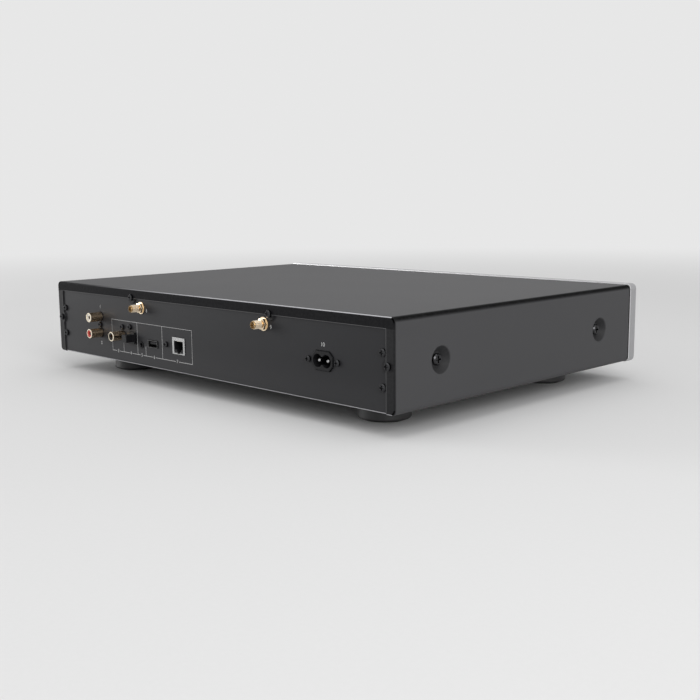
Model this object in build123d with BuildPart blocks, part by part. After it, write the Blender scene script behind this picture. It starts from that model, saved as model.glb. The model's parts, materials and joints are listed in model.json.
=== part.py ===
"""A full-width network music streamer: a steel sleeve over a tray, and a light front panel.

The origin lies under the middle of the set, on the surface that it stands on.
X runs across the front, the front faces -Y and Z is up. All lengths are in millimetres.
"""
import os
from math import radians, tan

from build123d import *

os.makedirs("parts", exist_ok=True)

# Body and sheet metal
body_width = 430.0
cover_height = 65.5
cover_depth = 294.0
sheet = 1.2
cover_bend = 4.0
rear_bend = 1.6
tray_bend = 2.0
flange_width = 8.2
tab_radius = 5.2
clearance = 0.3
snug = 0.1
overrun = 1.0
hex_sides = 6

# Feet
foot_height = 16.5
foot_radius = 20.0
foot_taper = 1.4
foot_rounding = 1.5
foot_seat = 3.5
foot_inset_x = 54.5
foot_inset_y = 48.0
foot_well_radius = 5.2
pad_radius = 16.5
pad_thickness = 2.5
pad_proud = 1.0

# Front panel and its bracket
panel_thickness = 11.0
panel_wall = 3.0
panel_proud = 0.75
panel_gap = 1.0
panel_corner = 4.5
panel_rounding = 2.0
boss_radius = 3.6
boss_inset_x = 24.0
boss_inset_z = 11.0
boss_hole_depth = 7.0
bracket_inset = 1.0
bracket_flange = 12.0
bracket_window_height = 26.0

# Dishes drawn into the sides, and the side rails behind them
dish_radius = 10.2
dish_floor_radius = 5.6
dish_depth = 5.0
dish_rounding = 1.0
dish_inset = 46.5
dish_drop = 33.5
rail_top_gap = 18.3
rail_flange = 10.0
rail_tab_bottom = 10.0
rail_window_height = 14.0
rail_window_margin = 30.0
notch_depth = 8.0
notch_height = 9.0

# Slots in the floor under the power board
vent_rows = 2
vent_count = 9
vent_pitch = 8.0
vent_length = 24.0
vent_width = 3.0
vent_row_pitch = 32.0
vent_setback = 40.0

# Screws
screw_radius = 1.45
screw_head_radius = 2.8
socket_head_radius = 2.4
screw_head_height = 1.9
screw_length = 6.0
large_screw_radius = 1.95
large_head_radius = 4.2
large_head_height = 2.4
large_screw_length = 7.0
cross_share = 0.62
cross_width_share = 0.16
cross_depth_share = 0.55

# Places of the rear screws, from the sides, the top or the underside of the sleeve
top_tab_inset = 124.5
top_tab_drop = 7.3
side_tab_inset = 6.4
side_tab_drop = 32.9
rail_screw_inset = 11.6
rail_screw_below = 14.8
rail_screw_above = 8.6

# Phono sockets: the stereo pair and the coaxial one
jack_reach = 11.0
jack_radius = 4.15
jack_wall = 0.9
jack_rim = 0.3
insulator_recess = 0.5
jack_seat = 3.0
jack_neck_radius = 3.8
contact_radius = 1.9
contact_bore = 1.5
contact_recess = 1.2
housing_width = 10.8
housing_depth = 11.0
housing_collar_radius = 4.5
housing_collar_proud = 0.5
phono_inset = 71.5
phono_rise = 7.6
phono_spacing = 14.4
phono_housing_height = 29.4
coax_gap = 24.9
coax_rise = 8.3
coax_screw_rise = 15.7
coax_housing_height = 19.5

# Optical socket and its dust plug
optical_gap = 4.2
optical_rise = 7.5
optical_width = 11.6
optical_height = 10.6
optical_depth = 12.0
optical_proud = 0.5
optical_mouth = 8.4
optical_mouth_corner = 1.0
optical_ear_width = 7.6
optical_ear_thickness = 3.0
optical_screw_offset = 3.4
optical_screw_rise = 16.6
plug_stem = 7.6
plug_stem_corner = 0.8
plug_stem_length = 7.0
plug_flange = 9.4
plug_flange_thickness = 1.1
plug_grip_width = 7.2
plug_grip_height = 6.6
plug_grip_length = 7.2
plug_groove = 0.5
plug_groove_width = 0.8

# Service jack
service_gap = 4.2
service_width = 6.4
service_height = 5.2
service_depth = 12.0
service_nose_radius = 2.9
service_proud = 0.5
service_bore_radius = 1.8
service_bore_depth = 10.0

# USB-A socket
usb_gap = 7.7
usb_width = 13.4
usb_height = 6.0
usb_depth = 14.0
usb_skin = 0.4
usb_rise = 1.9
usb_proud = 0.8
usb_lip = 0.1
usb_tongue_width = 11.0
usb_tongue_thickness = 1.8
usb_tongue_drop = 1.0
usb_tongue_setback = 1.2

# Ethernet socket
ethernet_gap = 5.6
ethernet_width = 17.0
ethernet_height = 13.9
ethernet_depth = 21.0
ethernet_skin = 0.4
ethernet_proud = 0.5
ethernet_mouth_width = 11.7
ethernet_mouth_height = 6.9
ethernet_mouth_bottom = 3.8
ethernet_window_bottom = 1.0
ethernet_window_gap = 0.3
ethernet_notch_width = 6.2
ethernet_notch_height = 1.6
ethernet_key_width = 3.4
ethernet_key_height = 1.0
ethernet_mouth_depth = 12.5
ethernet_contact_rise = 1.2
ethernet_contact_count = 8
ethernet_contact_width = 0.4
ethernet_contact_pitch = 1.02
ethernet_contact_length = 8.0
ground_screw_gap = 9.0
ground_screw_rise = 6.8
ground_block_size = 7.0

# Antenna sockets
antenna_left_inset = 131.7
antenna_right_inset = 137.5
antenna_drop = 15.4
antenna_reach = 9.8
antenna_radius = 3.15
antenna_bore_radius = 2.3
antenna_bore_depth = 5.0
antenna_pin_radius = 0.65
antenna_hex = 8.0
antenna_nut_thickness = 2.3
antenna_washer_radius = 5.2
antenna_washer_thickness = 0.8
antenna_back_length = 3.0
antenna_crimp_radius = 1.9
antenna_crimp_length = 6.0
antenna_groove_radius = 2.8
antenna_groove_width = 0.7

# Mains inlet
inlet_inset = 69.0
inlet_height = 29.4
inlet_width = 20.7
inlet_body_height = 13.9
inlet_chamfer = 3.6
inlet_proud = 1.2
inlet_rim = 0.8
inlet_depth = 16.0
inlet_flange_width = 37.0
inlet_flange_thickness = 2.6
inlet_screw_spacing = 29.4
inlet_lobe_radius = 4.7
inlet_lobe_spacing = 8.6
inlet_waist = 5.8
inlet_cavity_depth = 13.4
pin_radius = 1.2
pin_length = 12.0
tag_width = 4.8
tag_thickness = 0.8
tag_length = 8.0

# Boards and what they carry
board_thickness = 1.6
board_gap = 1.0
main_board_height = 14.0
main_board_depth = 112.0
main_board_margin = 9.0
standoff_radius = 3.0
standoff_inset = 5.0
chip_height = 1.6
chip_size = 14.0
header_height = 9.0
header_depth = 5.0
module_width = 46.0
module_depth = 34.0
module_lift = 3.0
module_can_height = 4.5
module_can_margin = 3.0
module_can_rounding = 1.0
module_strip = 6.0
aerial_plug_radius = 1.4
aerial_plug_height = 1.6
power_board_height = 8.0
power_board_width = 96.0
power_board_depth = 126.0
power_board_gap = 8.0
power_board_side_gap = 3.0
transformer_width = 34.0
transformer_depth = 30.0
transformer_height = 27.0
transformer_core_height = 11.0
transformer_core_overhang = 2.0
heat_sink_thickness = 2.0
heat_sink_length = 60.0
heat_sink_height = 26.0
terminal_width = 18.0
terminal_depth = 8.0
terminal_height = 5.0
terminal_setback = 18.0
capacitor_radius = 9.0
capacitor_height = 32.0
capacitor_gap = 4.0
capacitor_count = 3
capacitor_rim = 0.6

# Buttons, their switches and the status light
button_proud = 0.9
button_travel = 0.6
button_rounding = 0.5
collar_thickness = 1.2
collar_width = 1.6
standby_inset = 33.0
standby_radius = 7.0
preset_radius = 5.5
preset_spacing = 19.0
preset_count = 4
switch_size = 6.2
switch_height = 3.5
plunger_radius = 1.7
plunger_proud = 0.9
plunger_seat = 1.5
plunger_play = 0.2
button_board_lift = 2.0
button_board_height = 22.0
button_board_margin = 14.0
button_board_boss_radius = 3.0
status_offset = 16.0
status_radius = 1.5
status_flange = 0.9
status_flange_thickness = 1.0
lamp_size = 2.0
lamp_height = 1.0

# Leads
bend_share = 0.45
ribbon_width = 20.0
ribbon_thickness = 0.9
ribbon_window_height = 10.0
ribbon_sag = 10.0
ribbon_run = 14.0
ribbon_shares = [(0.12, 0.5), (0.24, 0.85), (0.4, 1.0), (0.56, 0.94), (0.72, 0.98), (0.87, 0.55)]
antenna_lead_radius = 0.8
antenna_lead_run = 14.0
antenna_lead_shares = [(0.14, 0.5, -0.05), (0.4, 0.8, 0.02), (0.66, 0.93, 0.2), (0.9, 0.99, 0.55)]
mains_lead_radius = 1.3
mains_lead_run = 6.5

# Places that follow from the sizes above
total_depth = button_proud + panel_thickness + panel_gap + cover_depth + jack_reach
front_y = button_proud - total_depth / 2
panel_back_y = front_y + panel_thickness
cover_front_y = panel_back_y + panel_gap
rear_y = cover_front_y + cover_depth
wall_y = rear_y - sheet
wall_inner_y = wall_y - sheet
bracket_y = cover_front_y + bracket_inset
bracket_back_y = bracket_y + sheet
base_z = foot_height
floor_z = base_z + sheet
cover_top_z = base_z + cover_height
cover_middle_z = base_z + cover_height / 2
half_width = body_width / 2
phono_x = half_width - phono_inset
coax_x = phono_x - housing_width - coax_gap
optical_x = coax_x - (housing_width + optical_width) / 2 - optical_gap
service_x = optical_x - (optical_width + service_width) / 2 - service_gap
usb_x = service_x - (service_width + usb_width) / 2 - usb_gap
ground_screw_x = usb_x - (usb_width + ground_block_size) / 2 - ground_screw_gap
ethernet_x = ground_screw_x - (ground_block_size + ethernet_width) / 2 - ethernet_gap
antenna_right_x = half_width - antenna_right_inset
antenna_left_x = antenna_left_inset - half_width
inlet_x = inlet_inset - half_width
standby_x = standby_inset - half_width
top_tab_x = half_width - top_tab_inset
tray_half = half_width - flange_width - clearance
rail_outer = half_width - dish_depth - sheet
main_board_top = base_z + main_board_height + board_thickness
power_board_top = base_z + power_board_height + board_thickness
jack_end_y = rear_y + jack_reach
phono_low_z = main_board_top + phono_rise
phono_high_z = phono_low_z + phono_spacing
phono_screw_z = (phono_low_z + phono_high_z) / 2
coax_z = main_board_top + coax_rise
optical_z = main_board_top + optical_rise
service_z = main_board_top + service_height / 2
usb_z = main_board_top + usb_rise + usb_height / 2
ethernet_z = main_board_top + ethernet_height / 2
antenna_z = cover_top_z - antenna_drop
inlet_z = base_z + inlet_height
button_z = cover_middle_z
dish_z = cover_top_z - dish_drop
side_tab_z = cover_top_z - side_tab_drop
rail_height = cover_height - sheet - rail_top_gap
middle = (Align.CENTER, Align.CENTER, Align.CENTER)
standing = (Align.CENTER, Align.CENTER, Align.MIN)
hanging = (Align.CENTER, Align.CENTER, Align.MAX)
upward = (Align.CENTER, Align.MIN)


def upright(y):
    """The plane across the set at depth y: X across, Z up, and extrusions go towards the front."""
    return Plane.XZ.offset(-y)


def facing(x, y, z, direction):
    """A plane at a point, whose normal is the direction."""
    return Plane(origin=(x, y, z), z_dir=direction)


to_rear = (0, 1, 0)
downward = (0, 0, -1)


def cross_screw(head_radius, head_height, shank_radius, shank_length):
    """A screw whose head stands on the XY plane, with a cross recess and its shank below."""
    with BuildPart() as screw:
        Cylinder(head_radius, head_height, align=standing)
        chamfer(screw.edges().sort_by(Axis.Z)[-1], head_height / 3)
        Cylinder(shank_radius, shank_length, align=hanging)
        with Locations((0, 0, head_height)):
            for turn in (0, 90):
                Box(
                    2 * cross_share * head_radius,
                    2 * cross_width_share * head_radius,
                    2 * cross_depth_share * head_height,
                    rotation=(0, 0, turn),
                    mode=Mode.SUBTRACT,
                )
    return screw.part


def cut_rectangle(width, height, corner):
    """A rectangle with its corners cut off."""
    with BuildSketch() as outline:
        Rectangle(width, height)
        chamfer(outline.vertices(), corner)
    return outline.sketch


small_screw = cross_screw(screw_head_radius, screw_head_height, screw_radius, screw_length)
socket_screw = cross_screw(socket_head_radius, screw_head_height, screw_radius, screw_length)
large_screw = cross_screw(large_head_radius, large_head_height, large_screw_radius, large_screw_length)

# Top cover: a sleeve with bottom returns, rear flanges with screw tabs, and dishes in its sides
top_tabs = [(side * top_tab_x, cover_top_z - top_tab_drop) for side in (-1, 1)]
side_tabs = [(side * (half_width - side_tab_inset), side_tab_z) for side in (-1, 1)]
dish_sides = [
    facing(side * half_width, y, dish_z, (side, 0, 0))
    for side in (-1, 1)
    for y in (cover_front_y + dish_inset, rear_y - dish_inset)
]
with BuildPart() as top_cover:
    with BuildSketch(upright(rear_y)):
        with Locations((0, cover_middle_z)):
            RectangleRounded(body_width, cover_height, cover_bend)
            RectangleRounded(
                body_width - 2 * sheet, cover_height - 2 * sheet, cover_bend - sheet, mode=Mode.SUBTRACT
            )
        with Locations((0, base_z)):
            Rectangle(2 * (half_width - flange_width), 2 * (sheet + overrun), mode=Mode.SUBTRACT)
    extrude(amount=cover_depth)
    with BuildSketch(upright(rear_y)):
        with Locations((0, cover_middle_z)):
            RectangleRounded(body_width, cover_height, cover_bend)
        with Locations((0, cover_top_z - flange_width)):
            Rectangle(
                2 * (half_width - flange_width),
                cover_height,
                align=(Align.CENTER, Align.MAX),
                mode=Mode.SUBTRACT,
            )
        with Locations(*top_tabs, *side_tabs):
            Circle(tab_radius)
            Circle(screw_radius + clearance, mode=Mode.SUBTRACT)
    extrude(amount=sheet)
    outline = top_cover.faces().sort_by(Axis.Y)[-1].outer_wire().edges()
    fillet(
        outline.filter_by(
            lambda edge: abs(edge.center().X) > half_width - cover_bend / 2
            or edge.center().Z > cover_top_z - cover_bend / 2
            or edge.center().Z < base_z + sheet / 2
        ),
        rear_bend,
    )
    with Locations(*dish_sides):
        Cone(dish_floor_radius + sheet, dish_radius + sheet, dish_depth + sheet, align=hanging)
        Cone(dish_floor_radius, dish_radius, dish_depth, align=hanging, mode=Mode.SUBTRACT)
        Cylinder(
            large_screw_radius + clearance, dish_depth + sheet + overrun, align=hanging, mode=Mode.SUBTRACT
        )
    mouths = top_cover.edges().filter_by(
        lambda edge: edge.geom_type == GeomType.CIRCLE
        and abs(edge.radius - dish_radius) < clearance
        and abs(edge.arc_center.X) > half_width - sheet / 2
    )
    fillet(mouths, dish_rounding)
top_cover.part.label = "top_cover"
export_step(top_cover.part, "parts/top_cover.step")

# Chassis tray: the floor and the rear wall folded from one sheet, with every socket's cut-out
foot_places = {
    "front_left": (-(half_width - foot_inset_x), cover_front_y + foot_inset_y),
    "front_right": (half_width - foot_inset_x, cover_front_y + foot_inset_y),
    "rear_left": (-(half_width - foot_inset_x), rear_y - foot_inset_y),
    "rear_right": (half_width - foot_inset_x, rear_y - foot_inset_y),
}
main_board_left = ethernet_x - ethernet_width / 2 - main_board_margin
main_board_right = phono_x + housing_width / 2 + main_board_margin
main_board_x = (main_board_left + main_board_right) / 2
main_board_rear = wall_inner_y - board_gap
power_board_left = -rail_outer + rail_flange + power_board_side_gap
power_board_x = power_board_left + power_board_width / 2
power_board_rear = wall_inner_y - inlet_depth + inlet_flange_thickness - power_board_gap
ear_half = half_width - sheet - overrun
wall_height = cover_height - sheet - clearance
ear_bottom = sheet + cover_bend + overrun
rail_screws = [
    (side * (half_width - rail_screw_inset), z)
    for side in (-1, 1)
    for z in (side_tab_z - rail_screw_below, side_tab_z + rail_screw_above)
]
socket_screws = [
    (phono_x, phono_screw_z),
    (coax_x, main_board_top + coax_screw_rise),
    (optical_x + optical_screw_offset, main_board_top + optical_screw_rise),
    (ground_screw_x, main_board_top + ground_screw_rise),
]
inlet_screws = [(inlet_x + side * inlet_screw_spacing / 2, inlet_z) for side in (-1, 1)]
jack_places = [(phono_x, phono_low_z), (phono_x, phono_high_z), (coax_x, coax_z)]
antenna_places = {"left": antenna_left_x, "right": antenna_right_x}
with BuildPart() as chassis_tray:
    with BuildSketch(Plane.XY.offset(base_z)):
        with Locations((0, bracket_y)):
            Rectangle(2 * tray_half, wall_y - bracket_y, align=upward)
    extrude(amount=sheet)
    with BuildSketch(upright(wall_y)) as rear_wall:
        with Locations((0, base_z)):
            Rectangle(2 * tray_half, wall_height, align=upward)
        with Locations((0, base_z + ear_bottom)):
            Rectangle(2 * ear_half, wall_height - ear_bottom, align=upward)
        fillet(rear_wall.vertices().group_by(Axis.Y)[-1], cover_bend)
    extrude(amount=sheet)
    fillet(
        chassis_tray.edges().filter_by(Axis.X).filter_by(
            lambda edge: edge.center().Y > wall_y - sheet / 2 and edge.center().Z < base_z + sheet / 2
        ),
        tray_bend,
    )
    fillet(
        chassis_tray.edges().filter_by(Axis.X).filter_by(
            lambda edge: abs(edge.center().Y - wall_inner_y) < sheet / 2
            and abs(edge.center().Z - floor_z) < sheet / 2
        ),
        tray_bend - sheet,
    )
    with BuildSketch(upright(wall_y + overrun)):
        with Locations(*jack_places):
            Circle(housing_collar_radius + clearance)
        with Locations(*rail_screws, *socket_screws, *inlet_screws, *top_tabs, *side_tabs):
            Circle(screw_radius + clearance)
        with Locations(*[(x, antenna_z) for x in antenna_places.values()]):
            Circle(antenna_radius + clearance)
        with Locations((optical_x, optical_z)):
            Rectangle(optical_width + 2 * clearance, optical_height + 2 * clearance)
        with Locations((service_x, service_z)):
            Circle(service_nose_radius + clearance)
        with Locations((usb_x, usb_z)):
            usb_hole = 2 * (usb_lip + clearance)
            Rectangle(usb_width + usb_hole, usb_height + usb_hole)
        with Locations((ethernet_x, ethernet_z)):
            Rectangle(ethernet_width + 2 * clearance, ethernet_height + 2 * clearance)
        with Locations((inlet_x, inlet_z)):
            inlet_hole = 2 * clearance
            add(cut_rectangle(inlet_width + inlet_hole, inlet_body_height + inlet_hole, inlet_chamfer))
    extrude(amount=sheet + 2 * overrun, mode=Mode.SUBTRACT)
    with BuildSketch(Plane.XY.offset(base_z)):
        with Locations(*foot_places.values()):
            Circle(large_screw_radius + clearance)
        with Locations((power_board_x, power_board_rear - power_board_depth + vent_setback)):
            with GridLocations(vent_pitch, vent_row_pitch, vent_count, vent_rows):
                SlotOverall(vent_length, vent_width, rotation=90)
    extrude(amount=sheet, mode=Mode.SUBTRACT)
chassis_tray.part.label = "chassis_tray"
export_step(chassis_tray.part, "parts/chassis_tray.step")

# Side rails: standing behind the dishes, with tabs for the rear wall and the front bracket
rail_length = wall_inner_y - bracket_back_y
for name, side in (("left", -1), ("right", 1)):
    with BuildPart() as rail:
        with BuildSketch(upright(wall_inner_y)):
            with Locations((side * (rail_outer - sheet / 2), floor_z)):
                Rectangle(sheet, rail_height, align=upward)
            with Locations((side * (rail_outer - rail_flange / 2), floor_z)):
                Rectangle(rail_flange, sheet, align=upward)
        extrude(amount=rail_length)
        with BuildSketch(upright(wall_inner_y), upright(bracket_back_y + sheet)):
            with Locations((side * (rail_outer - rail_flange / 2), floor_z + rail_tab_bottom)):
                Rectangle(rail_flange, rail_height - rail_tab_bottom, align=upward)
        extrude(amount=sheet)
        with BuildSketch(upright(wall_inner_y + overrun)):
            with Locations(*rail_screws):
                Circle(screw_radius + clearance)
        extrude(amount=sheet + 2 * overrun, mode=Mode.SUBTRACT)
        with Locations((side * rail_outer, wall_inner_y, floor_z)):
            Box(2 * rail_flange, 2 * (tray_bend - sheet), 2 * (tray_bend - sheet), mode=Mode.SUBTRACT)
        with Locations((side * rail_outer, wall_inner_y, side_tab_z)):
            Box(4 * screw_head_radius - sheet, 2 * notch_depth, notch_height, mode=Mode.SUBTRACT)
        with BuildSketch(Plane.YZ.offset(side * (rail_outer - sheet / 2))):
            with Locations((wall_inner_y - rail_length / 2, floor_z + rail_height / 2)):
                SlotOverall(rail_length - 2 * (dish_inset + rail_window_margin), rail_window_height)
            with Locations(*[(place.origin.Y, place.origin.Z) for place in dish_sides[:2]]):
                Circle(large_screw_radius + clearance)
        extrude(amount=sheet, both=True, mode=Mode.SUBTRACT)
    rail.part.label = f"side_rail_{name}"
    export_step(rail.part, f"parts/side_rail_{name}.step")

# Front bracket: an upright plate with folded edges, which carries the panel and the button board
boss_points = [
    (side * x, base_z + z)
    for side in (-1, 1)
    for x in (boss_inset_x, half_width - boss_inset_x)
    for z in (boss_inset_z, cover_height - boss_inset_z)
]
ribbon_x = ethernet_x + ribbon_width / 2
presets_x = [preset_spacing * (number - (preset_count - 1) / 2) for number in range(preset_count)]
button_board_left = standby_x - standby_radius - button_board_margin / 2
button_board_right = max(presets_x[-1] + preset_radius, ribbon_x + ribbon_width / 2) + button_board_margin
button_board_x = (button_board_left + button_board_right) / 2
board_back_y = bracket_y - button_board_lift
board_front_y = board_back_y - board_thickness
button_board_holes = [
    (x, button_z + side * (button_board_height / 2 - standoff_radius - clearance))
    for x in (button_board_left + standoff_inset, button_board_right - standoff_inset)
    for side in (-1, 1)
]
bracket_width = body_width - 2 * (sheet + overrun)
bracket_height = cover_height - 2 * sheet - clearance
window_width = half_width - 2 * boss_inset_x - 2 * button_board_margin
with BuildPart() as front_bracket:
    with BuildSketch(upright(bracket_back_y)):
        with Locations((0, floor_z + bracket_height / 2)):
            RectangleRounded(bracket_width, bracket_height, cover_bend)
        with Locations((ribbon_x, button_z - button_board_height / 2 + ribbon_thickness)):
            Rectangle(ribbon_width + 2 * overrun, ribbon_window_height, mode=Mode.SUBTRACT)
        with Locations((half_width / 2 + 2 * button_board_margin, button_z)):
            Rectangle(window_width / 2, bracket_window_height, mode=Mode.SUBTRACT)
    extrude(amount=sheet)
    with BuildSketch(upright(bracket_back_y)):
        with Locations((0, floor_z), (0, floor_z + bracket_height - sheet)):
            Rectangle(2 * (rail_outer - rail_flange - clearance), sheet, align=upward)
    extrude(amount=-bracket_flange)
    with BuildSketch(upright(bracket_y)):
        with Locations(*button_board_holes):
            Circle(button_board_boss_radius)
    extrude(amount=button_board_lift)
    with BuildSketch(upright(bracket_back_y + overrun)):
        with Locations(*boss_points, *button_board_holes):
            Circle(screw_radius + clearance)
    extrude(amount=sheet + button_board_lift + 2 * overrun, mode=Mode.SUBTRACT)
front_bracket.part.label = "front_bracket"
export_step(front_bracket.part, "parts/front_bracket.step")

# Front panel: a rounded shell with bosses that reach the bracket, and holes for buttons and light
status_x = standby_x + status_offset
panel_height = cover_height + 2 * panel_proud
with BuildPart() as front_panel:
    with BuildSketch(upright(panel_back_y)):
        with Locations((0, cover_middle_z)):
            RectangleRounded(body_width, panel_height, panel_corner)
    extrude(amount=panel_thickness)
    fillet(front_panel.faces().sort_by(Axis.Y)[0].outer_wire().edges(), panel_rounding)
    with BuildSketch(upright(panel_back_y)):
        with Locations((0, cover_middle_z)):
            RectangleRounded(
                body_width - 2 * panel_wall, panel_height - 2 * panel_wall, panel_corner - panel_wall / 2
            )
    extrude(amount=panel_thickness - panel_wall, mode=Mode.SUBTRACT)
    with BuildSketch(upright(bracket_y)):
        with Locations(*boss_points):
            Circle(boss_radius)
    extrude(amount=bracket_y - front_y - panel_wall)
    with BuildSketch(upright(bracket_y)):
        with Locations(*boss_points):
            Circle(screw_radius + clearance)
    extrude(amount=boss_hole_depth, mode=Mode.SUBTRACT)
    with BuildSketch(upright(panel_back_y)):
        with Locations((standby_x, button_z)):
            Circle(standby_radius + clearance)
        with Locations(*[(x, button_z) for x in presets_x]):
            Circle(preset_radius + clearance)
        with Locations((status_x, button_z)):
            Circle(status_radius + clearance / 2)
    extrude(amount=panel_thickness + overrun, mode=Mode.SUBTRACT)
front_panel.part.label = "front_panel"
export_step(front_panel.part, "parts/front_panel.step")

# Feet, their pads and screws
for corner, (x, y) in foot_places.items():
    with BuildPart() as foot:
        with BuildSketch(Plane(origin=(x, y, 0), x_dir=(1, 0, 0), z_dir=(0, -1, 0))) as foot_profile:
            with BuildLine():
                Polyline(
                    (foot_well_radius, pad_thickness),
                    (pad_radius, pad_thickness),
                    (pad_radius, pad_proud),
                    (foot_radius, pad_proud),
                    (foot_radius - foot_taper, base_z),
                    (large_screw_radius + clearance, base_z),
                    (large_screw_radius + clearance, base_z - foot_seat),
                    (foot_well_radius, base_z - foot_seat),
                    close=True,
                )
            make_face()
            fillet(foot_profile.vertices().sort_by(Axis.X)[-1], foot_rounding)
        revolve(axis=Axis((x, y, 0), (0, 0, 1)))
    foot.part.label = f"foot_{corner}"
    export_step(foot.part, f"parts/foot_{corner}.step")

with BuildPart() as foot_pads:
    with BuildSketch():
        with Locations(*foot_places.values()):
            Circle(pad_radius - clearance)
            Circle(foot_well_radius + clearance, mode=Mode.SUBTRACT)
    extrude(amount=pad_thickness)
foot_pads.part.label = "foot_pads"
export_step(foot_pads.part, "parts/foot_pads.step")

with BuildPart() as foot_screws:
    with Locations(*[facing(x, y, base_z - foot_seat, downward) for x, y in foot_places.values()]):
        add(large_screw)
foot_screws.part.label = "foot_screws"
export_step(foot_screws.part, "parts/foot_screws.step")

# Screws of the sheet metal
with BuildPart() as cover_side_screws:
    for place in dish_sides:
        with Locations(place.offset(-dish_depth)):
            add(large_screw)
cover_side_screws.part.label = "cover_side_screws"
export_step(cover_side_screws.part, "parts/cover_side_screws.step")

with BuildPart() as cover_rear_screws:
    with Locations(*[facing(x, rear_y, z, to_rear) for x, z in (*top_tabs, *side_tabs)]):
        add(small_screw)
cover_rear_screws.part.label = "cover_rear_screws"
export_step(cover_rear_screws.part, "parts/cover_rear_screws.step")

with BuildPart() as rear_panel_screws:
    with Locations(*[facing(x, wall_y, z, to_rear) for x, z in rail_screws]):
        add(small_screw)
rear_panel_screws.part.label = "rear_panel_screws"
export_step(rear_panel_screws.part, "parts/rear_panel_screws.step")

with BuildPart() as connector_screws:
    with Locations(*[facing(x, wall_y, z, to_rear) for x, z in (*socket_screws, *inlet_screws)]):
        add(socket_screw)
connector_screws.part.label = "connector_screws"
export_step(connector_screws.part, "parts/connector_screws.step")

with BuildPart() as front_panel_screws:
    with Locations(*[facing(x, bracket_back_y, z, to_rear) for x, z in boss_points]):
        add(small_screw)
front_panel_screws.part.label = "front_panel_screws"
export_step(front_panel_screws.part, "parts/front_panel_screws.step")

# Phono sockets: gold barrels in black housings, with coloured insulators and centre contacts
def phono_housing(x, sockets, screw, height):
    """A housing behind the wall, whose collars reach through it round each barrel."""
    with BuildPart() as housing:
        with BuildSketch(upright(wall_inner_y)):
            with Locations((x, main_board_top)):
                Rectangle(housing_width, height, align=upward)
        extrude(amount=housing_depth)
        with BuildSketch(upright(wall_y + housing_collar_proud)):
            with Locations(*sockets):
                Circle(housing_collar_radius)
        extrude(amount=sheet + housing_collar_proud)
        with BuildSketch(upright(wall_y + housing_collar_proud)):
            with Locations(*sockets):
                Circle(jack_neck_radius + snug)
        extrude(amount=housing_collar_proud + sheet + jack_seat, mode=Mode.SUBTRACT)
        with BuildSketch(upright(wall_inner_y)):
            with Locations(screw):
                Circle(screw_radius + clearance)
        extrude(amount=screw_length, mode=Mode.SUBTRACT)
    return housing.part


def phono_contacts(sockets):
    """The barrel and the centre contact of each socket."""
    with BuildPart() as contacts:
        with BuildSketch(upright(jack_end_y)):
            with Locations(*sockets):
                Circle(jack_radius)
                Circle(jack_radius - jack_wall, mode=Mode.SUBTRACT)
        extrude(amount=jack_end_y - wall_y - housing_collar_proud)
        rims = contacts.edges().filter_by(
            lambda edge: edge.geom_type == GeomType.CIRCLE
            and abs(edge.radius - jack_radius) < snug
            and edge.arc_center.Y > jack_end_y - snug
        )
        chamfer(rims, jack_rim)
        with BuildSketch(upright(wall_y + housing_collar_proud)):
            with Locations(*sockets):
                Circle(jack_neck_radius)
                Circle(jack_radius - jack_wall, mode=Mode.SUBTRACT)
        extrude(amount=housing_collar_proud + sheet + jack_seat)
        with BuildSketch(upright(jack_end_y - contact_recess)):
            with Locations(*sockets):
                Circle(contact_radius)
        extrude(amount=jack_end_y - contact_recess - wall_inner_y + jack_seat)
        with BuildSketch(upright(jack_end_y - contact_recess)):
            with Locations(*sockets):
                Circle(contact_bore)
        extrude(amount=jack_reach - contact_recess, mode=Mode.SUBTRACT)
    return contacts.part


def phono_insulator(socket):
    """The insulator between barrel and centre contact, just inside the barrel's end."""
    with BuildPart() as insulator:
        with BuildSketch(upright(jack_end_y - insulator_recess)):
            with Locations(socket):
                Circle(jack_radius - jack_wall - snug)
        extrude(amount=jack_end_y - insulator_recess - wall_inner_y + jack_seat)
        with BuildSketch(upright(jack_end_y + overrun)):
            with Locations(socket):
                Circle(contact_radius + snug)
        extrude(amount=jack_end_y + 2 * overrun - wall_inner_y + jack_seat, mode=Mode.SUBTRACT)
    return insulator.part


stereo_sockets = jack_places[:2]
coax_socket = jack_places[2]

rca_pair_housing = phono_housing(phono_x, stereo_sockets, socket_screws[0], phono_housing_height)
rca_pair_housing.label = "rca_pair_housing"
export_step(rca_pair_housing, "parts/rca_pair_housing.step")

rca_pair_contacts = phono_contacts(stereo_sockets)
rca_pair_contacts.label = "rca_pair_contacts"
export_step(rca_pair_contacts, "parts/rca_pair_contacts.step")

right_channel_insulator = phono_insulator(stereo_sockets[0])
right_channel_insulator.label = "right_channel_insulator"
export_step(right_channel_insulator, "parts/right_channel_insulator.step")

left_channel_insulator = phono_insulator(stereo_sockets[1])
left_channel_insulator.label = "left_channel_insulator"
export_step(left_channel_insulator, "parts/left_channel_insulator.step")

coax_jack_housing = phono_housing(coax_x, [coax_socket], socket_screws[1], coax_housing_height)
coax_jack_housing.label = "coax_jack_housing"
export_step(coax_jack_housing, "parts/coax_jack_housing.step")

coax_jack_contacts = phono_contacts([coax_socket])
coax_jack_contacts.label = "coax_jack_contacts"
export_step(coax_jack_contacts, "parts/coax_jack_contacts.step")

coax_jack_insulator = phono_insulator(coax_socket)
coax_jack_insulator.label = "coax_jack_insulator"
export_step(coax_jack_insulator, "parts/coax_jack_insulator.step")

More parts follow.
